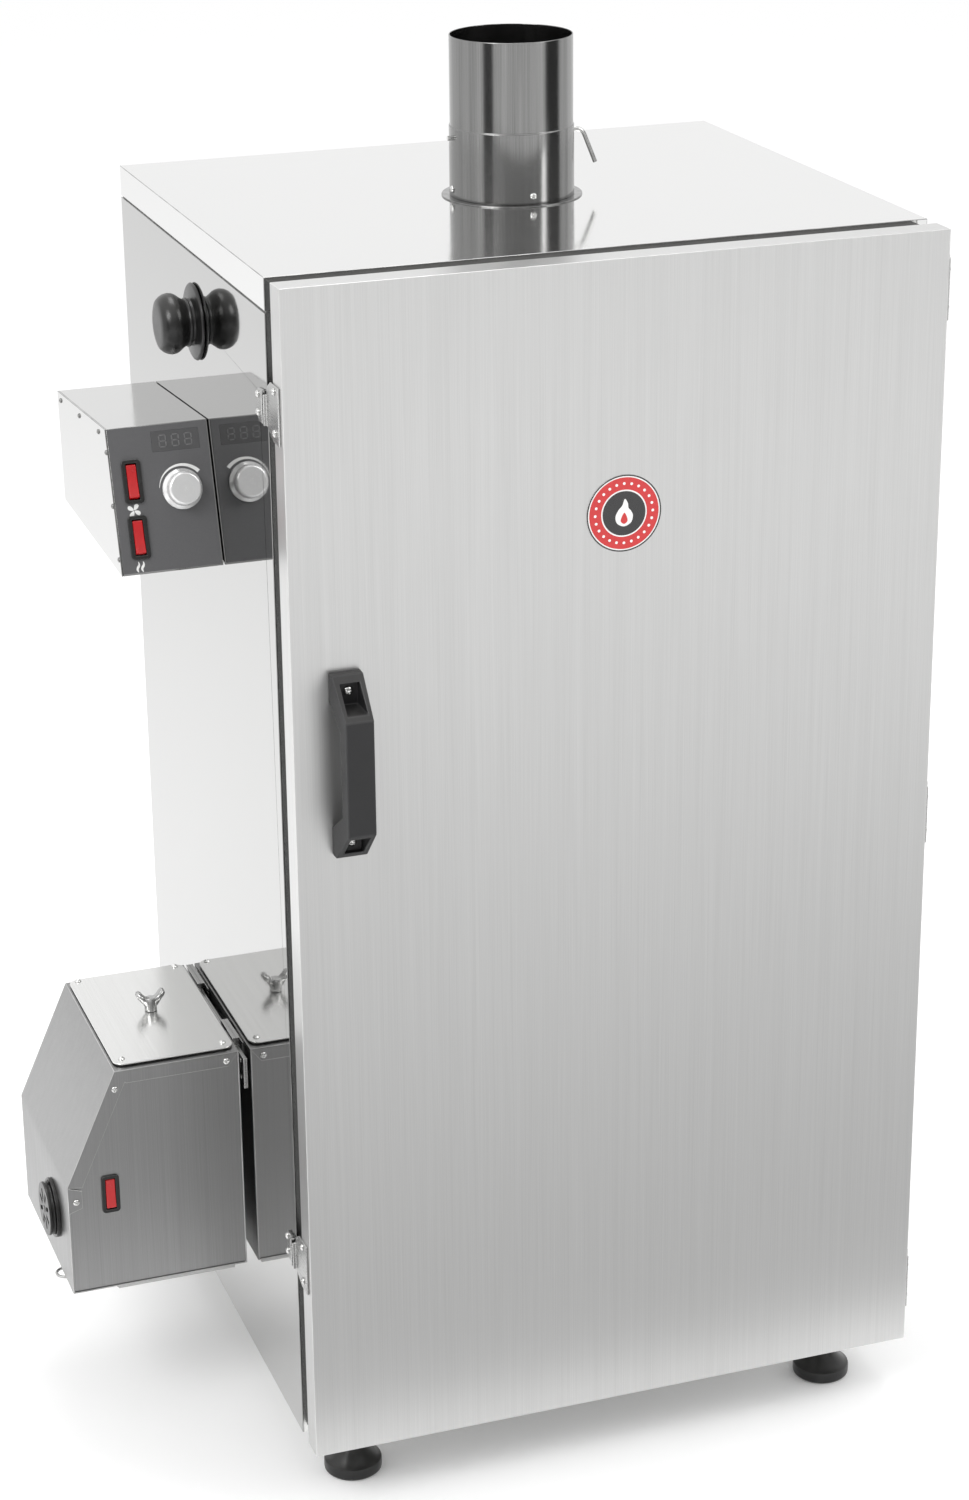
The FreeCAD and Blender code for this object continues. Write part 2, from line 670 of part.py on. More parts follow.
def controller():
    inner = shrink(BOX_PROFILE, SHEET)
    cover_x = BOX_LEFT + SHEET
    housing = slab_x(BOX_PROFILE, cover_x, -STANDOFF)
    housing = housing.cut(slab_x(inner, cover_x - 1, -STANDOFF - SHEET))

    def face_tool(shape, x, up):
        return mount_on(shape, on_face(x, up, 0), BOX_SLOPE)

    switch_ups = (FAN_SWITCH_UP, HEAT_SWITCH_UP)
    switch_holes = [face_tool(switch_cutout(NEST), SWITCH_X, up) for up in switch_ups]
    shaft_hole = face_tool(rod_z(-BEYOND, BEYOND, 0, 0, SHAFT_RADIUS + 1.5), KNOB_X, KNOB_UP)
    display_hole = face_tool(box(-18.5, 18.5, -7, 7, -BEYOND, BEYOND), DISPLAY_X, DISPLAY_UP)
    probe_hole = rod_x(-20, 10, PROBE_Y, PROBE_Z, PROBE_RADIUS + PLAY)
    inlet_cut = box(-57, -29, 385, 400, 765, 785)
    cuts = switch_holes + [shaft_hole, display_hole, probe_hole, inlet_cut]
    housing = cut_all(housing, cuts)

    # The end cover is screwed through its top and front margins into blocks inside the housing
    cover_screws = [V(BOX_LEFT, y, z) for y, z in COVER_SCREW_PLACES]
    cover = slab_x(BOX_PROFILE, BOX_LEFT, cover_x)
    blocks = []
    for spot in cover_screws:
        front, back = spot.y - BLOCK_HALF, spot.y + BLOCK_HALF
        block = box(cover_x, cover_x + 6, front, back, spot.z - BLOCK_HALF, spot.z + BLOCK_HALF)
        blocks.append(block.common(slab_x(inner, BOX_LEFT, 0)))
    drills = holes(cover_screws, RIGHT, COVER_SCREW + PLAY, 12)
    save("controller_end_cover", cut_all(cover, drills))
    save("controller_housing", cut_all(join([housing] + blocks), drills))
    small = screw(2.1, 1.4, COVER_SCREW, 6.0)
    cabinet_fixings.extend(place(small, spot, LEFT) for spot in cover_screws)

    label = box(BOX_LEFT + 1.6, -STANDOFF - 1.2, 1.6, BOX_FACE - 0.6, 0, LABEL)
    label = mount_on(label, on_face(0, 0, 0), BOX_SLOPE)
    window = face_tool(box(-19.5, 19.5, -8.2, 8.2, 0, LABEL), DISPLAY_X, DISPLAY_UP)
    save("control_panel", cut_all(label, switch_holes + [shaft_hole, window]))
    save("display_window", window)

    for up in switch_ups:
        switch_cases.append(mount_on(switch_body(), on_face(SWITCH_X, up, LABEL), BOX_SLOPE))
    save("fan_rocker", mount_on(rocker(), on_face(SWITCH_X, FAN_SWITCH_UP, LABEL), BOX_SLOPE))
    save("heat_rocker", mount_on(rocker(), on_face(SWITCH_X, HEAT_SWITCH_UP, LABEL), BOX_SLOPE))

    knob = turn([
        [(0, -12), (3, -12)],
        [(3, -12), (3, 1.2)],
        [(3, 1.2), (16.3, 1.2)],
        [(16.3, 1.2), (16.3, 3.4)],
        [(16.3, 3.4), (14.6, 5.2)],
        [(14.6, 5.2), (13.4, 6.0)],
        [(13.4, 6.0), (13.2, 13.6)],
        [(13.2, 13.6), (12.4, 14.4)],
        [(12.4, 14.4), (0, 14.4)],
        [(0, 14.4), (0, -12)],
    ])
    knob = knob.cut(box(-0.6, 0.6, 13.9, 17, 2.0, 7.0))
    save("temperature_knob", mount_on(knob, on_face(KNOB_X, KNOB_UP, 0), BOX_SLOPE))

    board = box(BOX_LEFT + 8, -10, 14, BOX_FACE - 8, BOARD_LOW, BOARD_TOP)
    pot = rod_z(BOARD_TOP, -6, KNOB_X, KNOB_UP, 8)
    pot = pot.cut(rod_z(-14, 0, KNOB_X, KNOB_UP, SHAFT_RADIUS + PLAY))
    digits = box(DISPLAY_X - 18, DISPLAY_X + 18, DISPLAY_UP - 6.8, DISPLAY_UP + 4.9, BOARD_TOP, -1.4)
    relay = box(-46, -20, 16, 34, BOARD_TOP, -10)
    electronics = join([board, pot, digits, relay])
    save("circuit_board", mount_on(electronics, on_face(0, 0, 0), BOX_SLOPE))

    wall_brackets.append(box(-STANDOFF, 0, 240, 370, 742, 812).cut(probe_hole))
    save("temperature_probe", rod_x(-12, 150, PROBE_Y, PROBE_Z, PROBE_RADIUS))

    # A mains inlet in the sloping back wall
    inlet = box(-56.5, -29.5, 372, 393, 765.5, 784.5)
    flange = box(-62, -24, 393, 395.6, 763, 787)
    recess = box(-52, -34, 380, 400, 769, 781)
    power_inlets.append(flange.fuse(inlet).cut(recess))


# ---------------------------------------------------------------- smoke generator
GEN_PROFILE = [
    (GEN_RIGHT, GEN_BOTTOM),
    (GEN_RIGHT, GEN_TOP),
    (GEN_SHOULDER[0], GEN_TOP),
    (GEN_LEFT, GEN_SHOULDER[1]),
    (GEN_LEFT, GEN_BOTTOM),
]
GEN_SWITCH_X = -121.8
GEN_SWITCH_Z = 176.0
HOPPER = (-100.0, -18.0, 205.0, 350.0)
HOPPER_LOW = 170.0
HOPPER_SHEET = 1.0
FEED_MOUTH = (-81.0, -37.0, 220.0, 328.0)
STUD_X = -56.5
STUD_Y = 283.5
STUD_RADIUS = 3.0
ROTOR_X = -59.0
ROTOR_Z = 145.0
ROTOR_RADIUS = 22.0
ROTOR_SHAFT = 5.0
VANES = 6
VALVE_SEAT = 26.0
VALVE_DIAL = 23.5
VALVE_STUD = 3.0
VALVE_HOLE = 19.0
PORTS = 8
LID_RIVET = 1.5
LUGS = ((211.0, 250.0), (327.0, 369.0))
HOOKS = ((205.0, 232.0), (318.0, 350.0))
GEN_SCREWS = ((-113.5, 273.8), (-16.2, 283.2), (-151.8, 173.5))


def edge_strip(start, end, width, taper):
    """A margin inside the edge from start to end, narrower at both of its ends."""
    ax, az = start
    bx, bz = end
    length = math.hypot(bx - ax, bz - az)
    dx, dz = (bx - ax) / length, (bz - az) / length
    nx, nz = -dz, dx
    return [
        (ax, az),
        (bx, bz),
        (bx - dx * taper + nx * width, bz - dz * taper + nz * width),
        (ax + dx * taper + nx * width, az + dz * taper + nz * width),
    ]


def generator_housing():
    inner = shrink(GEN_PROFILE, SHEET)
    wrap = slab_y(GEN_PROFILE, GEN_FRONT, GEN_BACK)
    wrap = wrap.cut(slab_y(inner, GEN_FRONT - 1, GEN_BACK + 1))
    margin = shrink(GEN_PROFILE, 0.6)
    margin_width = 12.0
    strip_foot = (margin[3][0], 163.0)
    strips = [
        edge_strip(margin[1], margin[2], margin_width, 9),
        edge_strip(margin[2], margin[3], margin_width, 4),
        edge_strip(margin[3], strip_foot, margin_width, 4),
    ]
    folded = [slab_y(points, GEN_FRONT, GEN_FRONT + SHEET) for points in strips]
    wrap = join([wrap] + folded)

    x0, x1, y0, y1 = HOPPER
    hopper_hole = box(x0 - NEST, x1 + NEST, y0 - NEST, y1 + NEST, GEN_TOP - BEYOND, GEN_TOP + BEYOND)
    smoke_hole = rod_x(GEN_RIGHT - BEYOND, BEYOND, SMOKE_Y, SMOKE_Z, SMOKE_RADIUS + SMOKE_SLEEVE + PLAY)
    valve_hole = rod_x(GEN_LEFT - BEYOND, GEN_LEFT + BEYOND, VALVE_Y, VALVE_Z, VALVE_HOLE)
    ash_hole = box(-95, -30, 206, 270, GEN_BOTTOM - BEYOND, GEN_BOTTOM + BEYOND)
    front_screws = [V(x, GEN_FRONT, z) for x, z in GEN_SCREWS]
    drills = holes(front_screws, FORWARD, THREAD, DRILL)
    wrap = cut_all(wrap, [hopper_hole, smoke_hole, valve_hole, ash_hole] + drills)
    save("generator_housing", [wrap] + drawer_runners())
    cabinet_fixings.extend(place(SMALL_SCREW, spot, FORWARD) for spot in front_screws)

    plate_profile = shrink(GEN_PROFILE, SHEET + NEST)
    front = slab_y(plate_profile, GEN_FRONT + SHEET, GEN_FRONT + 2 * SHEET)
    switch_spot = V(GEN_SWITCH_X, GEN_FRONT + SHEET, GEN_SWITCH_Z)
    switch_hole = mount_on(switch_cutout(NEST), switch_spot, UP)
    front = cut_all(front, drills + [switch_hole])
    switch_cases.append(mount_on(switch_body(), switch_spot, UP))
    save("generator_rocker", mount_on(rocker(), switch_spot, UP))

    back = slab_y(plate_profile, GEN_BACK - 2 * SHEET, GEN_BACK - SHEET)
    back = back.cut(box(-137, -109, GEN_BACK - 10, GEN_BACK, 120, 140))
    save("generator_end_plates", [front, back])
    flange = box(-142, -104, GEN_BACK - SHEET, GEN_BACK + 1.4, 118, 142)
    inlet = box(-136.5, -109.5, GEN_BACK - 24, GEN_BACK - SHEET, 120.5, 139.5)
    recess = box(-132, -114, GEN_BACK - 14, GEN_BACK + 5, 124, 136)
    power_inlets.append(flange.fuse(inlet).cut(recess))

    # Rail on the wall, and the hooks by which the generator hangs from it
    rail_top = 283.0
    lug_top = 290.0
    rail = box(-RAIL, 0, 183, 372, 255, rail_top)
    lugs = [box(-2 * RAIL, -RAIL, y0, y1, 276, lug_top) for y0, y1 in LUGS]
    tall = [box(-RAIL, 0, y0, y1, rail_top, lug_top) for y0, y1 in LUGS]
    rail = join([rail] + lugs + tall)
    wall_brackets.append(cut_all(rail, holes(hanger_rivets, RIGHT, RIVET_HOLE, 6)))
    cabinet_fixings.extend(place(WALL_RIVET, spot, LEFT) for spot in hanger_rivets)
    wall_brackets.extend(box(GEN_RIGHT, GEN_RIGHT + 1.5, y0, y1, 262, 288) for y0, y1 in HOOKS)

    tube = rod_x(GEN_RIGHT - SHEET, CHAMBER_LEFT, SMOKE_Y, SMOKE_Z, SMOKE_RADIUS + SMOKE_SLEEVE)
    wall_sleeves.append(tube.cut(rod_x(-20, 50, SMOKE_Y, SMOKE_Z, SMOKE_RADIUS)))


def hopper_and_lid():
    x0, x1, y0, y1 = HOPPER
    bin_shell = box(x0, x1, y0, y1, HOPPER_LOW, GEN_TOP)
    sheet = HOPPER_SHEET
    rim = box(x0 - 8, x1 + 8, y0 - 10, y1 + 10, GEN_TOP, GEN_TOP + sheet)
    space = box(x0 + sheet, x1 - sheet, y0 + sheet, y1 - sheet, HOPPER_LOW + sheet, GEN_TOP + BEYOND)
    outlet = box(*FEED_MOUTH, HOPPER_LOW - BEYOND, HOPPER_LOW + BEYOND)
    hopper = bin_shell.fuse(rim).cut(space).cut(outlet)

    # The lid's stud stands on a bridge across the hopper's mouth
    bridge_low = GEN_TOP - 14
    bridge_top = bridge_low + 4
    bridge = box(x0, x1, STUD_Y - 6, STUD_Y + 6, bridge_low, bridge_top)
    stud = rod_z(bridge_top, GEN_TOP + 10, STUD_X, STUD_Y, STUD_RADIUS)
    save("chip_hopper", join([hopper, bridge, stud]))

    low = GEN_TOP + sheet + CLEAR
    top = low + 1.5
    plate = box(GEN_SHOULDER[0] + 2, GEN_RIGHT - 2, GEN_FRONT + 6, GEN_BACK - 2, low, top)
    plate = round_edges(plate, UP, 9)
    spots = [V(x, y, top) for x in (-103, -15) for y in (200, 363)]
    drills = holes(spots, UP, LID_RIVET + PLAY, 6)
    drills.append(rod_z(low - BEYOND, top + BEYOND, STUD_X, STUD_Y, STUD_RADIUS + 0.4))
    lid_rivet = rivet(2 * LID_RIVET, 2.2, top - low)
    save("hopper_lid", [cut_all(plate, drills)] + [place(lid_rivet, spot, UP) for spot in spots])

    hub_low = top + CLEAR
    hub_top = hub_low + 10
    hub = rod_z(hub_low, hub_top, STUD_X, STUD_Y, 5.5)
    wings = []
    wing_half = 2.6
    for side in (-1, 1):
        points = [
            (STUD_X + side * 0.5, hub_top - 5),
            (STUD_X + side * 5.2, hub_top - 5),
            (STUD_X + side * 11.0, hub_top + 1.5),
            (STUD_X + side * 14.2, hub_top + 7.6),
            (STUD_X + side * 12.4, hub_top + 10.6),
            (STUD_X + side * 9.6, hub_top + 9.6),
            (STUD_X + side * 5.2, hub_top + 2.6),
            (STUD_X + side * 0.5, hub_top + 0.4),
        ]
        wings.append(slab_y(points, STUD_Y - wing_half, STUD_Y + wing_half))
    nut = join([hub] + wings)
    save("wing_nut", nut.cut(rod_z(hub_low - 1, hub_low + 8.5, STUD_X, STUD_Y, STUD_RADIUS + PLAY)))


def feeder():
    wall = 6.0
    x0, x1, y0, y1 = FEED_MOUTH
    chute = box(x0 - wall, x1 + wall, y0 - 5, y1 + 5, 112, HOPPER_LOW)
    drum = rod_y(217, 331, ROTOR_X, ROTOR_Z, ROTOR_RADIUS + 1.5)
    mouth = box(*FEED_MOUTH, 150, HOPPER_LOW + BEYOND)
    slot = box(ROTOR_X - 10, ROTOR_X + 10, y0, y1, 105, 126)
    shaft_hole = rod_y(210, 340, ROTOR_X, ROTOR_Z, ROTOR_SHAFT + PLAY)
    save("feed_chute", cut_all(chute, [drum, mouth, slot, shaft_hole]))

    shaft = rod_y(213, 346, ROTOR_X, ROTOR_Z, ROTOR_SHAFT)
    vanes = []
    for i in range(VANES):
        vane = box(ROTOR_X, ROTOR_X + ROTOR_RADIUS, 218, 330, ROTOR_Z - 1, ROTOR_Z + 1)
        vane.rotate(V(ROTOR_X, 0, ROTOR_Z), V(0, 1, 0), i * 360 / VANES)
        vanes.append(vane)
    save("feed_rotor", join([shaft] + vanes))

    motor = box(-84, -34, 334, 366.9, 120, 169)
    save("feed_motor", motor.cut(rod_y(330, 350, ROTOR_X, ROTOR_Z, ROTOR_SHAFT + PLAY)))
    heaters.append(rod_y(225, GEN_BACK - 2 * SHEET, ROTOR_X, 99, 6))


def valve_rod(start, end, radius):
    """A disc on the air valve's axis, from one reach beyond the housing's end to another."""
    return rod_x(GEN_LEFT - start, GEN_LEFT - end, VALVE_Y, VALVE_Z, radius)


def air_valve():
    seat_reach = 3.4
    dial_low = seat_reach + CLEAR
    seat = valve_rod(seat_reach, 0, VALVE_SEAT)
    seat = seat.fuse(valve_rod(VALVE_REACH, 3, VALVE_STUD))
    dial = valve_rod(VALVE_REACH - 0.4, dial_low, VALVE_DIAL)
    groove = valve_rod(6.6, 5.4, VALVE_DIAL + 5).cut(valve_rod(7, 5, VALVE_DIAL - 1.1))
    tab_half = 2.5
    tab = box(GEN_LEFT - 5.4, GEN_LEFT - dial_low, VALVE_Y - tab_half, VALVE_Y + tab_half,
              VALVE_Z + 20, VALVE_Z + 26.5)
    dial = dial.cut(groove).fuse(tab)
    slot_half = 1.8
    slots = []
    for i in range(PORTS):
        slot = box(GEN_LEFT - 20, GEN_LEFT + BEYOND, VALVE_Y - slot_half, VALVE_Y + slot_half,
                   VALVE_Z + 8, VALVE_Z + 17.5)
        slot.rotate(V(0, VALVE_Y, VALVE_Z), V(1, 0, 0), (i + 0.5) * 360 / PORTS)
        slots.append(slot)
    save("air_valve_seat", cut_all(seat, slots))
    bore = valve_rod(20, -BEYOND, VALVE_STUD + PLAY)
    save("air_valve_dial", cut_all(dial, slots + [bore]))


DRAWER_RIM = GEN_BOTTOM - 1.0
DRAWER = (-116.0, -12.0, 200.0, 276.0)
DRAWER_DEPTH = 11.0
DRAWER_LIP = 4.0
PULL_LEFT = -162.0
PULL_SIDES = (230.0, 246.0)
PULL_WIRE = 1.25


def ash_drawer():
    # A shallow pan that slides out to the left on two runners under the housing floor
    left, right, front, back = DRAWER
    rim = DRAWER_RIM
    low = rim - DRAWER_DEPTH
    pan = slab_y([(left, low), (right, low), (right, rim), (left - 8, rim)], front, back)
    space = slab_y([(left + 1, low + 1), (right - 1, low + 1), (right - 1, rim + 1), (left - 7, rim + 1)],
                   front + 1, back - 1)
    lip_sides = ((front - DRAWER_LIP, front + 1), (back - 1, back + DRAWER_LIP))
    lips = [box(left, right, y0, y1, rim - 1, rim) for y0, y1 in lip_sides]
    pull_z = low + 3
    root = left - 1.7
    near, far = PULL_SIDES
    pull = bent_rod([
        V(root, near, pull_z), V(PULL_LEFT, near, pull_z), V(PULL_LEFT, far, pull_z), V(root, far, pull_z),
    ], PULL_WIRE, 7.5)
    save("ash_drawer", join([pan.cut(space), pull] + lips))


def drawer_runners():
    """Two angles under the housing floor that carry the drawer's lips."""
    left, right, front, back = DRAWER
    top = DRAWER_RIM - 1.0 - CLEAR
    runners = []
    stand_off = DRAWER_LIP + 2.5
    for outer, side in ((front - stand_off, 1), (back + stand_off, -1)):
        y0, y1 = sorted((outer, outer + side * SHEET))
        upright = box(left - 6, right + 4, y0, y1, top - SHEET, GEN_BOTTOM)
        y0, y1 = sorted((outer, outer + side * 6.0))
        foot = box(left - 6, right + 4, y0, y1, top - SHEET, top)
        runners.append(upright.fuse(foot))
    return runners


# ---------------------------------------------------------------- door
def door():
    handle_spots = [V(HANDLE_LEFT + HANDLE_WIDTH / 2, 0, HANDLE_MIDDLE + s * HANDLE_SCREWS) for s in (-1, 1)]
    handle_drills = holes(handle_spots, FORWARD, HANDLE_SCREW + PLAY, 16)
    side_drills = holes(hinge_door_screws + catch_screws, RIGHT, THREAD, DRILL)

    outer = box(0, WIDTH, 0, DOOR_DEPTH, 0, DOOR_HEIGHT)
    hollow = box(SHEET, WIDTH - SHEET, SHEET, DOOR_DEPTH + 1, SHEET, DOOR_HEIGHT - SHEET)
    save("door_outer_panel", cut_all(outer.cut(hollow), handle_drills + side_drills))

    gap = SHEET + NEST
    save("door_inner_panel", box(gap, WIDTH - gap, DOOR_DEPTH - SHEET, DOOR_DEPTH, gap, DOOR_HEIGHT - gap))
    edge = 6.5
    wool = box(edge, WIDTH - edge, SHEET + NEST, DOOR_DEPTH - SHEET - NEST, edge, DOOR_HEIGHT - edge)
    save("door_insulation", cut_all(wool, handle_drills))

    inset, band = 5.0, 17.0
    seal_back = CABINET_FRONT - CLEAR
    ring = box(inset, WIDTH - inset, DOOR_DEPTH, seal_back, inset, DOOR_HEIGHT - inset)
    far = inset + band
    ring = ring.cut(box(far, WIDTH - far, 0, CABINET_FRONT, far, DOOR_HEIGHT - far))
    save("door_gasket", ring)

    # Bridge handle with a screw pocket in each sloping end
    half = HANDLE_LENGTH / 2
    side_view = [
        (0, -half), (-HANDLE_SEAT, -half), (-HANDLE_REACH, HANDLE_END - half),
        (-HANDLE_REACH, half - HANDLE_END), (-HANDLE_SEAT, half), (0, half),
    ]
    grip_gap = [(1, -51), (-1, -51), (-24, -35), (-24, 35), (-1, 51), (1, 51)]
    left, right = HANDLE_LEFT, HANDLE_LEFT + HANDLE_WIDTH
    body = slab_x([(y, z + HANDLE_MIDDLE) for y, z in side_view], left, right)
    body = body.cut(slab_x([(y, z + HANDLE_MIDDLE) for y, z in grip_gap], left - 1, right + 1))
    taper = [(left, 1), (left + 1.8, -HANDLE_REACH - 1), (right - 1.8, -HANDLE_REACH - 1), (right, 1)]
    body = body.common(slab_z(taper, 0, DOOR_HEIGHT))
    pockets = []
    for side in (-1, 1):
        reach_in, reach_out = HANDLE_MIDDLE + side * 50.5, HANDLE_MIDDLE + side * 69.5
        low, high = sorted((reach_in, reach_out))
        pocket = box(left + 5.2, right - 5.2, -60, -HANDLE_SEAT, low, high)
        pockets.append(pocket)
    body = cut_all(body, pockets + handle_drills)
    save("door_handle", body)
    handle_screw = screw(2 * HANDLE_SCREW, 2.6, HANDLE_SCREW, 18.0)
    spots = [V(p.x, -HANDLE_SEAT, p.z) for p in handle_spots]
    door_fixings = [place(handle_screw, spot, FORWARD) for spot in spots]
    door_fixings += [place(SMALL_SCREW, spot, RIGHT) for spot in hinge_door_screws]
    door_fixings += [place(SMALL_SCREW, spot, LEFT) for spot in catch_screws]
    save("door_screws", door_fixings)

    save("door_badge", rod_y(-0.9, 0, BADGE_X, BADGE_Z, BADGE_RADIUS))


def hinges():
    segments = 5
    pitch = HINGE_HEIGHT / segments
    gap = 0.15
    leaf = WIDTH + HINGE_LEAF
    root = WIDTH + 0.4
    clear_of_pin = HINGE_RADIUS + CLEAR
    cabinet_leaves = []
    door_leaves = []
    pins = []
    for middle in HINGE_MIDDLES:
        low = middle - HINGE_HEIGHT / 2
        high = middle + HINGE_HEIGHT / 2
        body_parts = [
            box(WIDTH, leaf, CABINET_FRONT + 1, CABINET_FRONT + 22, low, high),
            box(root, root + HINGE_LEAF, HINGE_Y + clear_of_pin, CABINET_FRONT + 3, low, high),
        ]
        door_parts = [box(WIDTH, leaf, 1.5, HINGE_Y - clear_of_pin, low, high)]
        for i in range(segments):
            z0 = low + i * pitch + gap
            z1 = low + (i + 1) * pitch - gap
            knuckle = rod_z(z0, z1, HINGE_X, HINGE_Y, HINGE_RADIUS)
            if i % 2 == 0:
                body_parts.append(knuckle)
                body_parts.append(box(root, root + HINGE_LEAF, HINGE_Y, HINGE_Y + 5, z0, z1))
            else:
                door_parts.append(knuckle)
                door_parts.append(box(root, leaf, HINGE_Y - 5, HINGE_Y, z0, z1))
        bore = rod_z(low - 1, high + 1, HINGE_X, HINGE_Y, HINGE_PIN + PLAY)
        drills = holes(hinge_body_screws + hinge_door_screws, RIGHT, THREAD, DRILL)
        cabinet_leaves.append(cut_all(join(body_parts), [bore] + drills))
        door_leaves.append(cut_all(join(door_parts), [bore] + drills))
        pins.append(rod_z(low, high, HINGE_X, HINGE_Y, HINGE_PIN))
    save("hinge_leaves_cabinet", cabinet_leaves)
    save("hinge_leaves_door", door_leaves)
    save("hinge_pins", pins)
    cabinet_fixings.extend(place(SMALL_SCREW, spot, RIGHT) for spot in hinge_body_screws)


def catches():
    keepers = []
    plates = []
    for middle in CATCH_MIDDLES:
        front = CABINET_FRONT
        keeper_view = [
            (front + 1, middle - 11), (front + 18, middle - 14.3), (front + 23, middle - 11),
            (front + 23, middle + 8), (front + 19.5, middle + 12), (front + 1, middle + 14.2),
        ]
        keeper = slab_x(keeper_view, -KEEPER, 0)
        lip = box(-4.6, 0, front + 0.4, front + 2.0, middle - 11, middle + 14.2)
        keepers.append(cut_all(join([keeper, lip]), holes(keeper_screws, RIGHT, THREAD, DRILL)))
        plate_view = [
            (6, middle + 24.2), (26, middle + 24.2), (34.5, middle + 19), (38.2, middle + 12),
            (38.2, middle - 12), (27.5, middle - 17.6), (21, middle - 20.4), (6, middle - 20.4),
        ]
        plate = slab_x(plate_view, -CATCH_PLATE, 0)
        hook = box(-4.2, 0, 36.6, 38.2, middle - 12, middle + 12)
        plates.append(cut_all(join([plate, hook]), holes(catch_screws, RIGHT, THREAD, DRILL)))
    save("catch_keepers", keepers)
    cabinet_fixings.extend(place(SMALL_SCREW, spot, LEFT) for spot in keeper_screws)
    save("catch_plates", plates)


# ---------------------------------------------------------------- levelling feet
def feet():
    low = -FOOT_HEIGHT
    foot = turn([
        [(0, low), (FOOT_RADIUS - 2.5, low)],
        [(FOOT_RADIUS - 2.5, low), (FOOT_RADIUS - 0.7, low + 0.8), (FOOT_RADIUS, low + 3)],
        [(FOOT_RADIUS, low + 3), (FOOT_RADIUS, low + 9.5)],
        [(FOOT_RADIUS, low + 9.5), (FOOT_RADIUS - 0.8, low + 11.0), (FOOT_RADIUS - 2.4, low + 11.4)],
        [(FOOT_RADIUS - 2.4, low + 11.4), (16.5, low + 19.5), (9.0, low + 26)],
        [(9.0, low + 26), (8.0, low + 34)],
        [(8.0, low + 34), (STEM_RADIUS, low + 36)],
        [(STEM_RADIUS, low + 36), (STEM_RADIUS, STEM_TOP)],
        [(STEM_RADIUS, STEM_TOP), (0, STEM_TOP)],
        [(0, STEM_TOP), (0, low)],
    ])
    for number, (x, y) in enumerate(FEET, 1):
        save("levelling_foot_" + str(number), place(foot, V(x, y, 0), UP))


cabinet_shell()
chamber_contents()
flue()
port()
controller()
generator_housing()
hopper_and_lid()
feeder()
air_valve()
ash_drawer()
door()
hinges()
catches()
feet()
save("cabinet_screws", cabinet_fixings)
save("switch_bodies", switch_cases)
save("power_inlets", power_inlets)
save("wall_sleeves", wall_sleeves)
save("wall_brackets", wall_brackets)
save("heating_elements", heaters)
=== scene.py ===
# %% [markdown]
# # An electric cabinet smoker
# A stainless cabinet with a brushed door, a flue on its polished roof, and three fittings on
# its polished left wall: a port stopper, a temperature controller and a wood-chip smoke
# generator. The engineering model gives every piece its place and its motion. This lesson
# gives the pieces their finish: rounded folds, turned knobs, screw heads, grain and gloss.
# Everything starts from that model, because then nothing has to be fitted by eye.

# %% Load the engineering frame
import bmesh
import bpy
import json
import math
from mathutils import Matrix, Vector

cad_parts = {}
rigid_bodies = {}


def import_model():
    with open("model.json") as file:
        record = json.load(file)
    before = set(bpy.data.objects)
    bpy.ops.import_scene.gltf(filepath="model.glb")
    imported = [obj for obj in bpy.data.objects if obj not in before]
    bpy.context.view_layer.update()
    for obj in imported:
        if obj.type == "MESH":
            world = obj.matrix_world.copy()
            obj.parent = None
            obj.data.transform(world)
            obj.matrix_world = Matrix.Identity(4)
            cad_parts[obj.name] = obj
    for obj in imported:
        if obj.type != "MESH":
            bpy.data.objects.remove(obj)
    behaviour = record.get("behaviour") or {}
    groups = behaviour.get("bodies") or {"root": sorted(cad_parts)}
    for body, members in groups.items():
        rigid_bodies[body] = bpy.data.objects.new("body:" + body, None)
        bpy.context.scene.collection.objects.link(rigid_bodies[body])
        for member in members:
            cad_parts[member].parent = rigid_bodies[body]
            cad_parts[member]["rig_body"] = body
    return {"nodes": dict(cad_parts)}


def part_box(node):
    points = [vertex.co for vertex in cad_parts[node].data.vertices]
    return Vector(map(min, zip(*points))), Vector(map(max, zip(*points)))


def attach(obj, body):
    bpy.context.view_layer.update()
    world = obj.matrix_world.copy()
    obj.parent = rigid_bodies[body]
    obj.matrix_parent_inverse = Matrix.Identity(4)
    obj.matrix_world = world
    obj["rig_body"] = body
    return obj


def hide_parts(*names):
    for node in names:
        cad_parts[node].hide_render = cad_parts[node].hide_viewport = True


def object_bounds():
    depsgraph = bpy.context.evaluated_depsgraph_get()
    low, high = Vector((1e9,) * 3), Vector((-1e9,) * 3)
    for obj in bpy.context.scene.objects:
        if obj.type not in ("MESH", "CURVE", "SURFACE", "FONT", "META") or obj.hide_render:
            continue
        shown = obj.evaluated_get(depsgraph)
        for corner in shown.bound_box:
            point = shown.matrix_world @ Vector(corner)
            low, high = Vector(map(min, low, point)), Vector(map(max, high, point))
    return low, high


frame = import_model()
nodes = frame["nodes"]
cad_low, cad_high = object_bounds()
print("nodes", len(nodes), "box", [round(v, 4) for v in cad_high - cad_low])

# %% [markdown]
# ## Places
# A maker measures a cabinet from one corner. The door's lower front left corner is that
# corner here, and lengths are in millimetres as on a drawing. One helper turns such a
# measurement into a point of the frame, so every number below can be read with a ruler.

# %% Measure from the door's corner
MM = 0.001
door_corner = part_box("door_outer_panel")[0]


def at(x, y, z):
    """A point of the frame from millimetres right, back and up of the door's corner."""
    return door_corner + Vector((x, y, z)) * MM


FLUE_X, FLUE_Y = 270.4, 251.7
ROOF_Z = 988.3
FLOOR_Z = -58.8
print("door corner", tuple(round(v, 4) for v in door_corner))

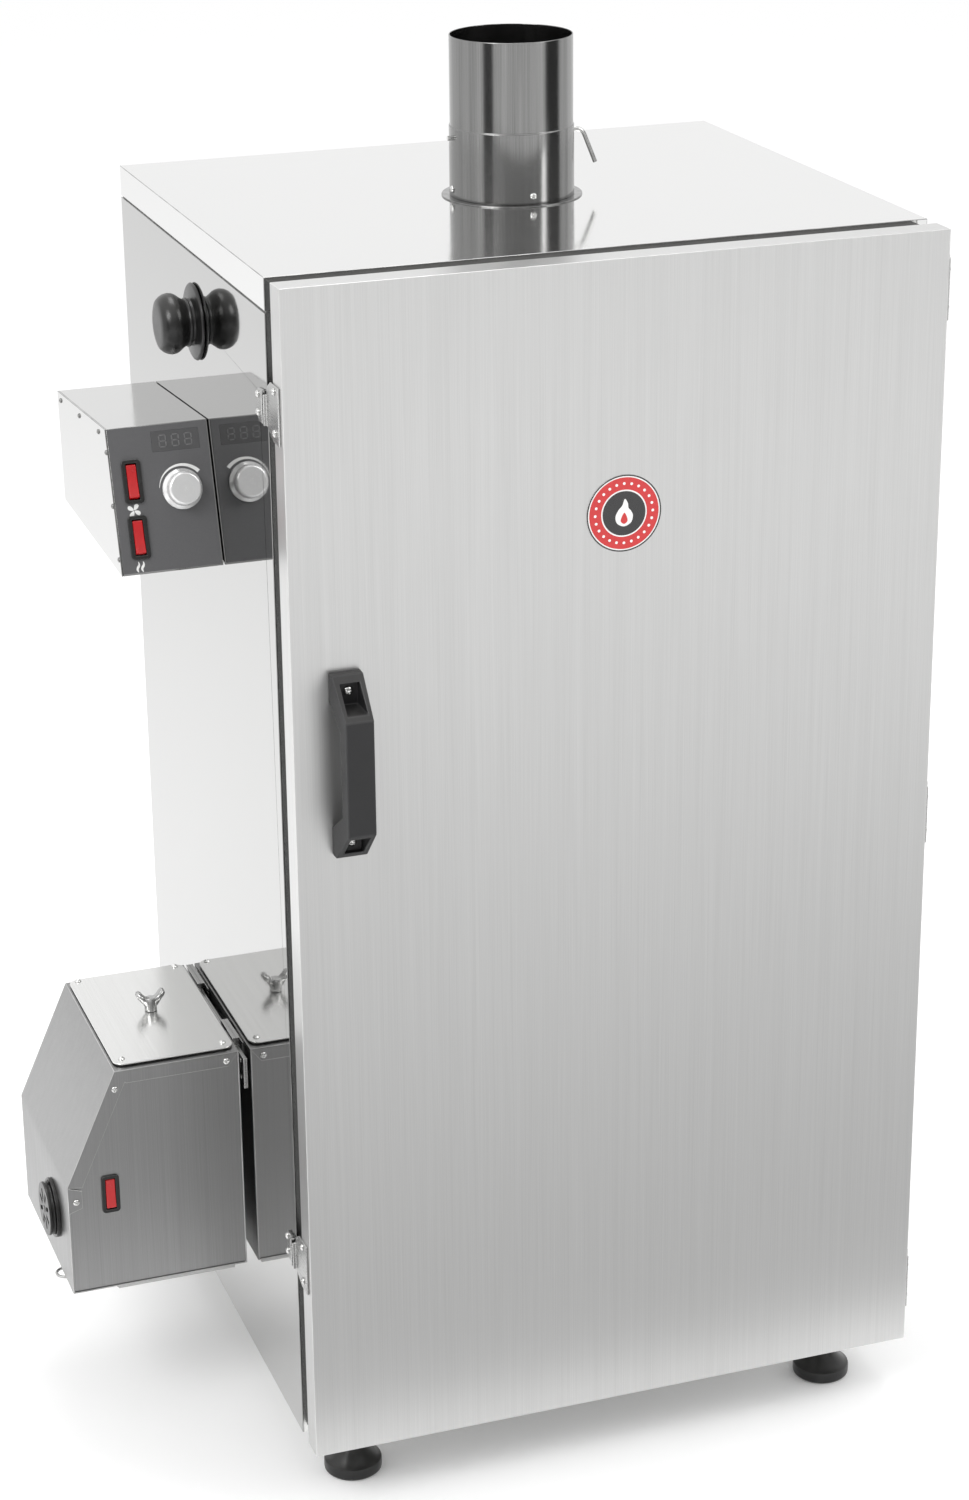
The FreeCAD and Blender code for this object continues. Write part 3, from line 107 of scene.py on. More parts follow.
# %% [markdown]
# ## Camera
# The cabinet is seen from its front left, from a little above its top, with a long lens that
# keeps its uprights nearly parallel. The camera is set by its direction of view and a small
# roll, not by tracking a target, because that keeps its place exact.

# %% Set the camera
VIEW_AZIMUTH, VIEW_DOWN, VIEW_ROLL = (math.radians(a) for a in (19.225, 21.305, -0.584))
CAMERA_PLACE = at(-633.8, -2259.5, 1542.9)
LENS = 79.2
ahead = Vector((math.sin(VIEW_AZIMUTH) * math.cos(VIEW_DOWN),
                math.cos(VIEW_AZIMUTH) * math.cos(VIEW_DOWN), -math.sin(VIEW_DOWN)))
level_right = Vector((math.cos(VIEW_AZIMUTH), -math.sin(VIEW_AZIMUTH), 0))
level_up = level_right.cross(ahead)
right = level_right * math.cos(VIEW_ROLL) + level_up * math.sin(VIEW_ROLL)
up = level_up * math.cos(VIEW_ROLL) - level_right * math.sin(VIEW_ROLL)
camera_data = bpy.data.cameras.new("camera")
camera_data.lens = LENS
camera_data.sensor_width = 36
camera = bpy.data.objects.new("camera", camera_data)
camera_turn = Matrix((right, up, -ahead)).transposed().to_4x4()
camera.matrix_world = Matrix.Translation(CAMERA_PLACE) @ camera_turn
scene = bpy.context.scene
scene.collection.objects.link(camera)
scene.camera = camera
print("camera at", [round(v, 3) for v in camera.matrix_world.translation])

# %% [markdown]
# ## Floor and light
# Polished steel has hardly a colour of its own: it shows the room. So the room is built with
# care. The floor is plain and pale, the sky is an even soft white, and it is greyer low down
# in front, which keeps the tilted control panel dark. Large soft lamps give the black
# plastics their highlights. Standard colour output keeps the white ground white.

# %% Lay the floor
scene.view_settings.view_transform = "Standard"
FLOOR_HALF = 80.0
FLOOR_LOOK = {"Base Color": (0.96, 0.96, 0.96, 1), "Roughness": 0.9, "Specular IOR Level": 0.0,
              "Emission Color": (1, 1, 1, 1), "Emission Strength": 0.07}
pale_floor = bpy.data.materials.new("pale floor")
pale_floor.use_nodes = True
for name, value in FLOOR_LOOK.items():
    pale_floor.node_tree.nodes["Principled BSDF"].inputs[name].default_value = value
floor_mesh = bpy.data.meshes.new("floor")
floor_mesh.from_pydata([(x * FLOOR_HALF, y * FLOOR_HALF, cad_low.z)
                        for x, y in ((-1, -1), (1, -1), (1, 1), (-1, 1))], [], [(0, 1, 2, 3)])
floor_mesh.materials.append(pale_floor)
floor = bpy.data.objects.new("floor", floor_mesh)
scene.collection.objects.link(floor)
print("floor at", round(cad_low.z, 4))

# %% [markdown]
# The sky, the finishes and the Geometry Nodes trees are all made of nodes. One helper adds a
# node with its settings, and gives each input a value or a wire from another node.

# %% Helpers that add nodes


def add_node(tree, kind, wires=(), **settings):
    """One node with its settings, and its inputs set to values or wired from sockets."""
    node = tree.nodes.new(kind)
    for name, value in settings.items():
        setattr(node, name, value)
    for name, value in dict(wires).items():
        if isinstance(value, bpy.types.NodeSocket):
            tree.links.new(value, node.inputs[name])
        else:
            node.inputs[name].default_value = value
    return node


def math_node(tree, operation, a, b=None, clamp=False):
    """A Math node from sockets or plain numbers."""
    wires = {0: a} if b is None else {0: a, 1: b}
    return add_node(tree, "ShaderNodeMath", wires, operation=operation, use_clamp=clamp).outputs[0]


def remap(tree, value, low, high, **settings):
    """A value from 0..1 to a range."""
    wires = {"Value": value, "To Min": low, "To Max": high}
    return add_node(tree, "ShaderNodeMapRange", wires, **settings).outputs["Result"]


print("node helpers ready")

# %% Make the soft white sky
world = bpy.data.worlds.new("studio")
scene.world = world
world.use_nodes = True
sky = world.node_tree
sky_place = add_node(sky, "ShaderNodeTexCoord")
sky_split = add_node(sky, "ShaderNodeSeparateXYZ", {"Vector": sky_place.outputs["Generated"]})


def sky_range(axis, low, high, out_low, out_high):
    """A smooth step of one direction's share, between two brightnesses."""
    wires = {"Value": sky_split.outputs[axis], "From Min": low, "From Max": high,
             "To Min": out_low, "To Max": out_high}
    return add_node(sky, "ShaderNodeMapRange", wires, interpolation_type="SMOOTHSTEP").outputs["Result"]


front_shade = sky_range("Y", -0.95, -0.1, 0.42, 1.0)
high_light = sky_range("Z", 0.15, 0.7, 0.0, 1.0)
background = sky.nodes["Background"]
background.inputs["Strength"].default_value = 1.0
sky.links.new(math_node(sky, "MAXIMUM", front_shade, high_light), background.inputs["Color"])
print("sky built with", len(sky.nodes), "nodes")

# %% Hang the lamps


def soft_lamp(name, position, target, size, power):
    """A square soft box that looks at a target."""
    data = bpy.data.lights.new(name, "AREA")
    data.shape = "SQUARE"
    data.size = size
    data.energy = power
    lamp = bpy.data.objects.new(name, data)
    lamp.location = position
    lamp.rotation_euler = (Vector(target) - Vector(position)).to_track_quat("-Z", "Y").to_euler()
    scene.collection.objects.link(lamp)


soft_lamp("key_lamp", (-2.6, -1.6, 3.0), (0, 0, 0.6), 1.6, 55)
soft_lamp("fill_lamp", (2.8, -2.2, 2.4), (0, 0, 0.6), 1.8, 30)
soft_lamp("top_lamp", (0.3, 0.8, 3.4), (0, 0, 0.9), 1.5, 25)

# %% [markdown]
# The brushed door mirrors the ground in front of it. In a studio a grey card lies there, so
# that the door darkens gently towards its foot. Two dark cards stand at the sides, for the
# flue's dark streaks. The cards are seen only in reflections.

# %% Lay the reflection cards


def reflection_card(name, corners, dark_end, bright_end):
    """A card that only mirrors see, shaded from its first edge to its far one."""
    mesh = bpy.data.meshes.new(name)
    mesh.from_pydata([Vector(c) for c in corners], [], [(0, 1, 2, 3)])
    layer = mesh.uv_layers.new(name="along")
    for loop, along in zip(layer.data, ((0, 0), (1, 0), (1, 1), (0, 1))):
        loop.uv = along
    material = bpy.data.materials.new(name)
    material.use_nodes = True
    tree = material.node_tree
    tree.nodes.remove(tree.nodes["Principled BSDF"])
    place = add_node(tree, "ShaderNodeTexCoord")
    split = add_node(tree, "ShaderNodeSeparateXYZ", {"Vector": place.outputs["UV"]})
    shade = remap(tree, split.outputs["Y"], dark_end, bright_end)
    glow = add_node(tree, "ShaderNodeEmission", {"Color": shade})
    tree.links.new(glow.outputs["Emission"], tree.nodes["Material Output"].inputs["Surface"])
    mesh.materials.append(material)
    card = bpy.data.objects.new(name, mesh)
    for rays in ("camera", "diffuse", "shadow", "transmission"):
        setattr(card, "visible_" + rays, False)
    scene.collection.objects.link(card)


CARD_Z, CARD_TOP = 0.002, 2.2
reflection_card("ground_card", [(-1.6, -0.36, CARD_Z), (1.6, -0.36, CARD_Z), (1.6, -3.6, CARD_Z),
                                (-1.6, -3.6, CARD_Z)], 0.58, 1.42)
reflection_card("left_card", [(-3.4, -2.6, 0.0), (-3.4, -1.1, 0.0), (-3.4, -1.1, CARD_TOP),
                              (-3.4, -2.6, CARD_TOP)], 0.04, 0.10)
reflection_card("right_card", [(2.2, -2.0, 0.0), (3.2, -0.6, 0.0), (3.2, -0.6, CARD_TOP),
                               (2.2, -2.0, CARD_TOP)], 0.04, 0.10)
print("cards laid")

# %% [markdown]
# ## Shared surface effects
# Grain, wear, dust and uneven gloss belong to many finishes, so each is a small shader group
# with named sockets, built once and placed in every finish with its own values. All of them
# read Object coordinates, which stay with the piece when it moves.

# %% A helper that starts a shader group


def new_group(name, inputs, outputs):
    """An empty shader group with named number or vector sockets."""
    group = bpy.data.node_groups.new(name, "ShaderNodeTree")
    for label, value in inputs:
        kind = "NodeSocketVector" if isinstance(value, tuple) else "NodeSocketFloat"
        socket = group.interface.new_socket(label, in_out="INPUT", socket_type=kind)
        socket.default_value = value
    for label in outputs:
        group.interface.new_socket(label, in_out="OUTPUT", socket_type="NodeSocketFloat")
    return group, group.nodes.new("NodeGroupInput"), group.nodes.new("NodeGroupOutput")


def noise(tree, place, scale, detail=2.0, **more):
    """A noise over places, from 0 to 1."""
    wires = {"Vector": place, "Scale": scale, "Detail": detail, **more}
    return add_node(tree, "ShaderNodeTexNoise", wires).outputs["Fac"]


def own_place(tree):
    """A point's place on its own piece."""
    return add_node(tree, "ShaderNodeTexCoord").outputs["Object"]


def swing(tree, value, amount):
    """A 0..1 value moved to swing about nought by an amount."""
    return math_node(tree, "MULTIPLY", math_node(tree, "SUBTRACT", value, 0.5), amount)


print("group helpers ready")

# %% [markdown]
# Brushed steel is drawn through an abrasive belt, which leaves hair-fine scratches along one
# direction. Noise that is stretched hard along that direction gives them: one layer of fine
# lines and one of broader streaks, so that the grain reads both near and far.

# %% Group: brush grain
STREAK_WIDTH = 0.07
grain_group, group_in, group_out = new_group(
    "brush grain", [("Lines Across", (2400.0, 2400.0, 6.0)), ("Streaks", 0.35), ("Contrast", 1.0)],
    ["Grain"])
stretch = add_node(grain_group, "ShaderNodeVectorMath",
                   {0: own_place(grain_group), 1: group_in.outputs["Lines Across"]}, operation="MULTIPLY")
wide_place = add_node(grain_group, "ShaderNodeVectorMath", {0: stretch.outputs[0], "Scale": STREAK_WIDTH},
                      operation="SCALE")
fine = noise(grain_group, stretch.outputs[0], 1.0, 3.0)
wide = noise(grain_group, wide_place.outputs[0], 1.0)
lines = math_node(grain_group, "ADD", swing(grain_group, fine, group_in.outputs["Contrast"]),
                  swing(grain_group, wide, group_in.outputs["Streaks"]))
grain_group.links.new(math_node(grain_group, "ADD", lines, 0.5, clamp=True), group_out.inputs["Grain"])
print("group", grain_group.name, "nodes", len(grain_group.nodes))

# %% [markdown]
# Handling and heat leave polished sheet slightly uneven: faint smears in its gloss and a very
# shallow waviness that bends long reflections. A coarse noise drives both.

# %% Group: uneven gloss
SMEAR_FLOOR = 0.45
gloss_group, group_in, group_out = new_group(
    "uneven gloss", [("Smear Size", 9.0), ("Smear Amount", 0.5), ("Wave Size", 3.0)], ["Smear", "Wave"])
smear = noise(gloss_group, own_place(gloss_group), group_in.outputs["Smear Size"], 5.0, Roughness=0.62)
smear = math_node(gloss_group, "SUBTRACT", smear, SMEAR_FLOOR, clamp=True)
smear = math_node(gloss_group, "MULTIPLY", smear, group_in.outputs["Smear Amount"])
wave = noise(gloss_group, own_place(gloss_group), group_in.outputs["Wave Size"], 0.0)
gloss_group.links.new(smear, group_out.inputs["Smear"])
gloss_group.links.new(wave, group_out.inputs["Wave"])
print("group", gloss_group.name, "nodes", len(gloss_group.nodes))

# %% [markdown]
# Edges that hands and cloths pass over are a little brighter than the faces beside them. Each
# rounded fold is marked in its mesh when it is made, and noise breaks the line up. On polished
# steel the same mask darkens the folds instead, as a painted shade line.

# %% Group: edge wear and painted fold shade
wear_and_fold_shade_group, group_in, group_out = new_group("edge wear and painted fold shade", [("Amount", 0.8), ("Patchiness", 40.0)], ["Wear"])
folds = add_node(wear_and_fold_shade_group, "ShaderNodeAttribute", attribute_name="fold")
patches = noise(wear_and_fold_shade_group, own_place(wear_and_fold_shade_group), group_in.outputs["Patchiness"])
marked = math_node(wear_and_fold_shade_group, "MULTIPLY", folds.outputs["Fac"], group_in.outputs["Amount"])
wear_and_fold_shade_group.links.new(math_node(wear_and_fold_shade_group, "MULTIPLY", marked, patches), group_out.inputs["Wear"])
print("group", wear_and_fold_shade_group.name, "nodes", len(wear_and_fold_shade_group.nodes))

# %% [markdown]
# Dust settles on what faces up, and moulded plastic has a fine spark-eroded grain. Both are
# masks that the finishes mix in softly.

# %% Groups: settled dust and moulded grain
dust_group, group_in, group_out = new_group("settled dust", [("Amount", 0.2), ("Size", 60.0)], ["Dust"])
shape = add_node(dust_group, "ShaderNodeNewGeometry")
split = add_node(dust_group, "ShaderNodeSeparateXYZ", {"Vector": shape.outputs["Normal"]})
specks = noise(dust_group, own_place(dust_group), group_in.outputs["Size"], 6.0)
lying = math_node(dust_group, "MULTIPLY", math_node(dust_group, "MAXIMUM", split.outputs["Z"], 0.0), specks)
lying = math_node(dust_group, "MULTIPLY", lying, group_in.outputs["Amount"])
dust_group.links.new(lying, group_out.inputs["Dust"])

mould_group, group_in, group_out = new_group("moulded grain", [("Grain Size", 1400.0)], ["Pits"])
cells = add_node(mould_group, "ShaderNodeTexVoronoi",
                 {"Vector": own_place(mould_group), "Scale": group_in.outputs["Grain Size"]})
mould_group.links.new(cells.outputs["Distance"], group_out.inputs["Pits"])
print("groups", dust_group.name, "and", mould_group.name)

# %% [markdown]
# ## Finishes
# Every metal here is one Principled shader whose colour, roughness and bump come from the
# groups. A brushed finish is rough across its grain, a polished one nearly a mirror.

# %% A helper that starts a finish


def start_finish(name, metallic=0.0, coat=0.0):
    """A new material, with its shader's constant values set on their own sockets."""
    material = bpy.data.materials.new(name)
    material.use_nodes = True
    tree = material.node_tree
    shader = tree.nodes["Principled BSDF"]
    for socket, value in (("Metallic", metallic), ("Coat Weight", coat), ("Coat Roughness", 0.05),
                          ("IOR", 1.5)):
        shader.inputs[socket].default_value = value
    return material, tree, shader


def use_group(tree, group, **values):
    """A shader group placed in a finish with its own values."""
    wires = {name.replace("_", " "): value for name, value in values.items()}
    return add_node(tree, "ShaderNodeGroup", wires, node_tree=group)


def blend_colours(tree, factor, first, second):
    """A colour between two, by a factor socket."""
    first, second = ((*c, 1) if isinstance(c, tuple) else c for c in (first, second))
    return add_node(tree, "ShaderNodeMix", {"Factor": factor, 6: first, 7: second},
                    data_type="RGBA").outputs[2]


def raise_bump(tree, shader, height, strength, distance):
    """A Bump node from a height to the shader's normal."""
    bump = add_node(tree, "ShaderNodeBump", {"Strength": strength, "Distance": distance, "Height": height})
    tree.links.new(bump.outputs["Normal"], shader.inputs["Normal"])


print("finish helpers ready")

# %% Brushed and polished steels


def brushed_steel(name, dark, bright, lines, roughness, streaks=0.35, bump=0.05):
    """Belt-brushed steel; lines says how tightly the grain is packed along X, Y and Z."""
    material, tree, shader = start_finish(name, metallic=1.0)
    grain = use_group(tree, grain_group, Lines_Across=lines, Streaks=streaks)
    gloss = use_group(tree, gloss_group, Smear_Amount=0.05)
    wear = use_group(tree, wear_and_fold_shade_group)
    body = blend_colours(tree, grain.outputs["Grain"], dark, bright)
    worn = blend_colours(tree, wear.outputs["Wear"], body, (0.93, 0.93, 0.92))
    tree.links.new(worn, shader.inputs["Base Color"])
    rough = math_node(tree, "ADD", remap(tree, grain.outputs["Grain"], roughness + 0.07, roughness - 0.05),
                      gloss.outputs["Smear"])
    tree.links.new(rough, shader.inputs["Roughness"])
    raise_bump(tree, shader, grain.outputs["Grain"], bump, 0.0002)
    return material


def polished_steel(name, colour, roughness, wave=0.02, smear=0.25):
    """Mirror sheet with faint smears, dust and waviness; its folds get painted shade as fine darker lines.
    """
    material, tree, shader = start_finish(name, metallic=1.0)
    gloss = use_group(tree, gloss_group, Smear_Amount=smear)
    lying = use_group(tree, dust_group, Amount=0.1)
    dim = tuple(0.94 * c for c in colour)
    # The dark fold line is painted shade: the sheet's colour at three tenths, laid on the rounded folds.
    line = tuple(0.3 * c for c in colour)
    folds = use_group(tree, wear_and_fold_shade_group, Amount=1.3)
    sheet = blend_colours(tree, gloss.outputs["Smear"], colour, dim)
    tree.links.new(blend_colours(tree, folds.outputs["Wear"], sheet, line), shader.inputs["Base Color"])
    rough = math_node(tree, "ADD", math_node(tree, "MULTIPLY", gloss.outputs["Smear"], 0.25), roughness)
    tree.links.new(math_node(tree, "ADD", rough, lying.outputs["Dust"]), shader.inputs["Roughness"])
    raise_bump(tree, shader, gloss.outputs["Wave"], wave, 0.01)
    return material


UPRIGHT = (2300.0, 2300.0, 7.0)
FRONT_TO_BACK = (2300.0, 9.0, 2300.0)
CROSSWISE = (7.0, 7.0, 2300.0)
door_steel = brushed_steel("door brushed steel", (0.58, 0.58, 0.575), (0.70, 0.70, 0.695), UPRIGHT, 0.34,
                           bump=0.04)
front_steel = brushed_steel("generator brushed steel", (0.27, 0.27, 0.27), (0.36, 0.36, 0.36), UPRIGHT,
                            0.33)
satin_steel = brushed_steel("satin steel", (0.68, 0.68, 0.67), (0.78, 0.78, 0.77), FRONT_TO_BACK, 0.22)
side_steel = brushed_steel("side steel", (0.54, 0.54, 0.535), (0.63, 0.63, 0.625), FRONT_TO_BACK, 0.24)
lid_steel = brushed_steel("lid steel", (0.76, 0.76, 0.75), (0.87, 0.87, 0.86), FRONT_TO_BACK, 0.22)
flue_steel = brushed_steel("flue steel", (0.14, 0.14, 0.139), (0.38, 0.38, 0.376), UPRIGHT, 0.16,
                           streaks=0.9)
plain_steel = brushed_steel("mill steel", (0.46, 0.46, 0.455), (0.56, 0.56, 0.55), CROSSWISE, 0.38)
wall_mirror = polished_steel("polished wall steel", (0.49, 0.49, 0.485), 0.035)
roof_mirror = polished_steel("polished roof steel", (0.81, 0.81, 0.805), 0.05, wave=0.012)
box_mirror = polished_steel("polished housing steel", (0.63, 0.63, 0.625), 0.07, smear=0.35)
bright_steel = polished_steel("bright fastener steel", (0.72, 0.72, 0.71), 0.12, wave=0.0, smear=0.4)
dark_screw_steel = polished_steel("dark screw steel", (0.30, 0.30, 0.295), 0.22, wave=0.0, smear=0.4)
cast_steel = polished_steel("cast wing nut steel", (0.50, 0.50, 0.495), 0.2, wave=0.0, smear=0.5)
pressed_steel = brushed_steel("pressed plate steel", (0.40, 0.40, 0.395), (0.52, 0.52, 0.515), CROSSWISE,
                              0.26)
print("steels", [m.name for m in bpy.data.materials if "steel" in m.name])

# %% [markdown]
# Black plastic comes in two kinds: the moulded handle is matt with a spark-eroded grain, the
# stopper and feet are smooth. Rubber is darker and dull, the rockers are clear red with a
# glossy coat and a faint painted glow, and the turned knob keeps its lathe rings.

# %% Plastics and rubber


def black_plastic(name, colour, worn, roughness, pits, coat=0.0):
    """Moulded plastic with pits, pale edges and dust on top."""
    material, tree, shader = start_finish(name, coat=coat)
    mould = use_group(tree, mould_group)
    wear = use_group(tree, wear_and_fold_shade_group)
    gloss = use_group(tree, gloss_group, Smear_Amount=0.3, Smear_Size=25.0)
    lying = use_group(tree, dust_group, Amount=0.12)
    body = blend_colours(tree, wear.outputs["Wear"], colour, worn)
    dusty = blend_colours(tree, lying.outputs["Dust"], body, (0.35, 0.34, 0.32))
    tree.links.new(dusty, shader.inputs["Base Color"])
    tree.links.new(math_node(tree, "ADD", gloss.outputs["Smear"], roughness), shader.inputs["Roughness"])
    raise_bump(tree, shader, mould.outputs["Pits"], pits, 0.0002)
    return material


grip_plastic = black_plastic("matt black grip plastic", (0.014, 0.014, 0.015), (0.044, 0.044, 0.046), 0.44,
                             0.35)
gloss_plastic = black_plastic("smooth black plastic", (0.007, 0.007, 0.007), (0.02, 0.02, 0.02), 0.30,
                              0.04, 0.05)
bezel_plastic = black_plastic("switch black plastic", (0.010, 0.010, 0.010), (0.05, 0.05, 0.05), 0.22,
                              0.05, 0.1)
seal_rubber = black_plastic("door seal rubber", (0.035, 0.035, 0.035), (0.06, 0.06, 0.06), 0.65, 0.3)
print("black plastics ready")

# %% Clear red rocker and turned aluminium
rocker_red, tree, shader = start_finish("clear red rocker", coat=0.6)
gloss = use_group(tree, gloss_group, Smear_Size=120.0, Smear_Amount=0.8)
tree.links.new(blend_colours(tree, gloss.outputs["Smear"], (0.50, 0.006, 0.009), (0.26, 0.002, 0.004)),
               shader.inputs["Base Color"])
tree.links.new(math_node(tree, "ADD", gloss.outputs["Smear"], 0.12), shader.inputs["Roughness"])
# The faint red emission is a painted glow on the rocker caps, dimmer where the smear mask is high.
tree.links.new(blend_colours(tree, gloss.outputs["Smear"], (0.5, 0.01, 0.01), (0.3, 0.0, 0.0)),
               shader.inputs["Emission Color"])
shader.inputs["Emission Strength"].default_value = 0.04

turned_aluminium, tree, shader = start_finish("turned aluminium", metallic=0.6)
rings = add_node(tree, "ShaderNodeAttribute", attribute_name="ring")
RINGS_IN_A_METRE = 5200.0
lathe = add_node(tree, "ShaderNodeTexNoise",
                 {"W": math_node(tree, "MULTIPLY", rings.outputs["Fac"], RINGS_IN_A_METRE), "Scale": 1.0,
                  "Detail": 2.0}, noise_dimensions="1D")
tree.links.new(blend_colours(tree, lathe.outputs["Fac"], (0.86, 0.86, 0.86), (0.96, 0.96, 0.96)),
               shader.inputs["Base Color"])
tree.links.new(remap(tree, lathe.outputs["Fac"], 0.30, 0.2), shader.inputs["Roughness"])
raise_bump(tree, shader, lathe.outputs["Fac"], 0.06, 0.0001)
print("rocker and knob finishes ready")

# %% [markdown]
# The panel is a satin grey label. The display is a dark window over unlit digits. Printed
# marks are thin raised ink. Mineral wool is a pale matted fibre, and the circuit board green.

# %% Label, window, inks, wool and board


def mottled(name, first, second, size, roughness, bump=0.05, coat=0.0, detail=4.0):
    """A finish that wanders between two colours, for ink, enamel, wool and board."""
    material, tree, shader = start_finish(name, coat=coat)
    drift = noise(tree, own_place(tree), size, detail)
    tree.links.new(blend_colours(tree, drift, first, second), shader.inputs["Base Color"])
    tree.links.new(remap(tree, drift, roughness - 0.05, roughness + 0.05), shader.inputs["Roughness"])
    raise_bump(tree, shader, drift, bump, 0.0005)
    return material


label_grey = mottled("grey control label", (0.095, 0.095, 0.098), (0.120, 0.120, 0.124), 900.0, 0.38)
window_dark = mottled("smoked display window", (0.080, 0.080, 0.082), (0.092, 0.092, 0.094), 60.0, 0.25,
                      0.0, coat=0.2)
digit_dim = mottled("unlit display digits", (0.125, 0.125, 0.127), (0.145, 0.145, 0.147), 400.0, 0.4)
white_ink = mottled("white printed ink", (0.78, 0.78, 0.77), (0.88, 0.88, 0.87), 500.0, 0.45)
red_enamel = mottled("red badge enamel", (0.50, 0.012, 0.014), (0.62, 0.022, 0.024), 90.0, 0.22, 0.02,
                     coat=0.4)
black_enamel = mottled("black badge enamel", (0.012, 0.012, 0.013), (0.022, 0.022, 0.023), 90.0, 0.22,
                       0.02, coat=0.4)
white_enamel = mottled("white badge enamel", (0.80, 0.80, 0.79), (0.90, 0.90, 0.89), 90.0, 0.25, 0.02,
                       coat=0.4)
mineral_wool = mottled("mineral wool", (0.42, 0.38, 0.25), (0.62, 0.58, 0.42), 260.0, 0.95, 0.9, detail=8.0)
board_green = mottled("circuit board", (0.015, 0.10, 0.04), (0.03, 0.16, 0.06), 300.0, 0.4)
print("finishes in all", len(bpy.data.materials))

# %% [markdown]
# ## Rounded folds
# Real sheet steel turns a corner over a small radius, and that radius is what catches the
# light and draws the outline of every panel. The engineering model has sharp edges, so each
# of its sheet parts is copied, its loose triangles are joined into faces, and its corners are
# rounded by a Bevel whose weight is set on turned edges only. A Weighted Normal keeps the
# flat faces flat, which matters on a mirror.

# %% Helpers that finish a mesh


def settled(holder):
    """The plain mesh of a holder object with its modifiers applied; the holder goes."""
    graph = bpy.context.evaluated_depsgraph_get()
    mesh = bpy.data.meshes.new_from_object(holder.evaluated_get(graph))
    bpy.data.objects.remove(holder)
    return mesh


def as_piece(name, mesh, body, replaced=(), finish=None):
    """A finished mesh as a piece that rides on a body, in a finish when one is given."""
    if finish is not None:
        mesh.materials.clear()
        mesh.materials.append(finish)
    piece = bpy.data.objects.new(name, mesh)
    scene.collection.objects.link(piece)
    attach(piece, body)
    if replaced:
        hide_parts(*replaced)
    return piece


def with_modifiers(name, mesh, *steps):
    """A mesh after a list of (modifier type, settings), each applied in turn."""
    holder = bpy.data.objects.new(name, mesh)
    scene.collection.objects.link(holder)
    for kind, settings in steps:
        modifier = holder.modifiers.new(kind.lower(), kind)
        for key, value in settings.items():
            setattr(modifier, key, value)
    return settled(holder)


LEAST_TURN = math.radians(30)
FLAT_KEEPER = ("WEIGHTED_NORMAL", {"keep_sharp": True, "weight": 100})
print("mesh helpers ready")

# %% Helper: a panel with rounded folds


def joined_copy(node):
    """The node's triangles merged into whole faces, as an editable mesh."""
    work = bmesh.new()
    work.from_mesh(nodes[node].data)
    bmesh.ops.remove_doubles(work, verts=work.verts, dist=2e-6)
    bmesh.ops.dissolve_limit(work, angle_limit=math.radians(0.8), verts=work.verts, edges=work.edges)
    return work


def soften(node, width, finish, segments=2):
    """The node again, with its turned edges rounded to a width in millimetres."""
    work = joined_copy(node)
    weight = work.edges.layers.float.new("bevel_weight_edge")
    for edge in work.edges:
        if len(edge.link_faces) == 2 and edge.calc_face_angle(0.0) > LEAST_TURN:
            edge[weight] = 1.0
    mesh = bpy.data.meshes.new(node + "_folded")
    work.to_mesh(mesh)
    work.free()
    mesh.materials.append(finish)
    mesh.materials.append(finish)
    bevel = {"width": width * MM, "segments": segments, "limit_method": "WEIGHT",
             "use_clamp_overlap": False,
             "material": 1}
    mesh = with_modifiers(node, mesh, ("BEVEL", bevel))
    fold = mesh.attributes.new("fold", "FLOAT", "FACE")
    for item, face in zip(fold.data, mesh.polygons):
        item.value = float(face.material_index)
        face.material_index = 0
    mesh.shade_smooth()
    mesh.set_sharp_from_angle(angle=math.radians(46))
    mesh = with_modifiers(node, mesh, FLAT_KEEPER)
    return as_piece(node + "_folded", mesh, nodes[node]["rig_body"], [node], finish)


FOLDED_SHEETS = [
    ("door_outer_panel", 0.55, door_steel),
    ("top_cover", 0.55, roof_mirror),
    ("side_panel_left", 0.4, wall_mirror),
    ("side_panel_right", 0.4, side_steel),
    ("back_panel", 0.4, side_steel),
    ("controller_housing", 0.5, box_mirror),
    ("controller_end_cover", 0.45, box_mirror),
    ("control_panel", 0.25, label_grey),
    ("generator_housing", 0.5, front_steel),
    ("hopper_lid", 0.5, lid_steel),
    ("catch_plates", 0.5, pressed_steel),
    ("catch_keepers", 0.5, pressed_steel),
    ("hinge_leaves_cabinet", 0.4, pressed_steel),
    ("hinge_leaves_door", 0.3, pressed_steel),
    ("wall_brackets", 0.25, pressed_steel),
    ("ash_drawer", 0.3, plain_steel),
    ("drip_tray", 0.4, plain_steel),
    ("power_inlets", 0.5, bezel_plastic),
    ("door_handle", 1.1, grip_plastic),
    ("switch_bodies", 0.5, bezel_plastic),
]
for node, width, finish in FOLDED_SHEETS:
    print(node, len(soften(node, width, finish).data.polygons), "faces")

# %% [markdown]
# Three rockers tilt in their switches. Their clear red caps get a larger radius, because
# light runs along it.

# %% Round the rockers
for node in ("fan_rocker", "heat_rocker", "generator_rocker"):
    soften(node, 0.7, rocker_red, segments=3)
print("rockers rounded")

# %% [markdown]
# ## Turned pieces
# The flue, the stopper, the knob and the feet are round, so each is a profile spun about an
# axis. The flue's and the knob's profiles are eased first, and the moulded stopper and feet are
# given with their curves: a lathe or a mould never leaves corners sharp.

# %% Helpers: ease a profile and spin it


EASE_STEPS = 3


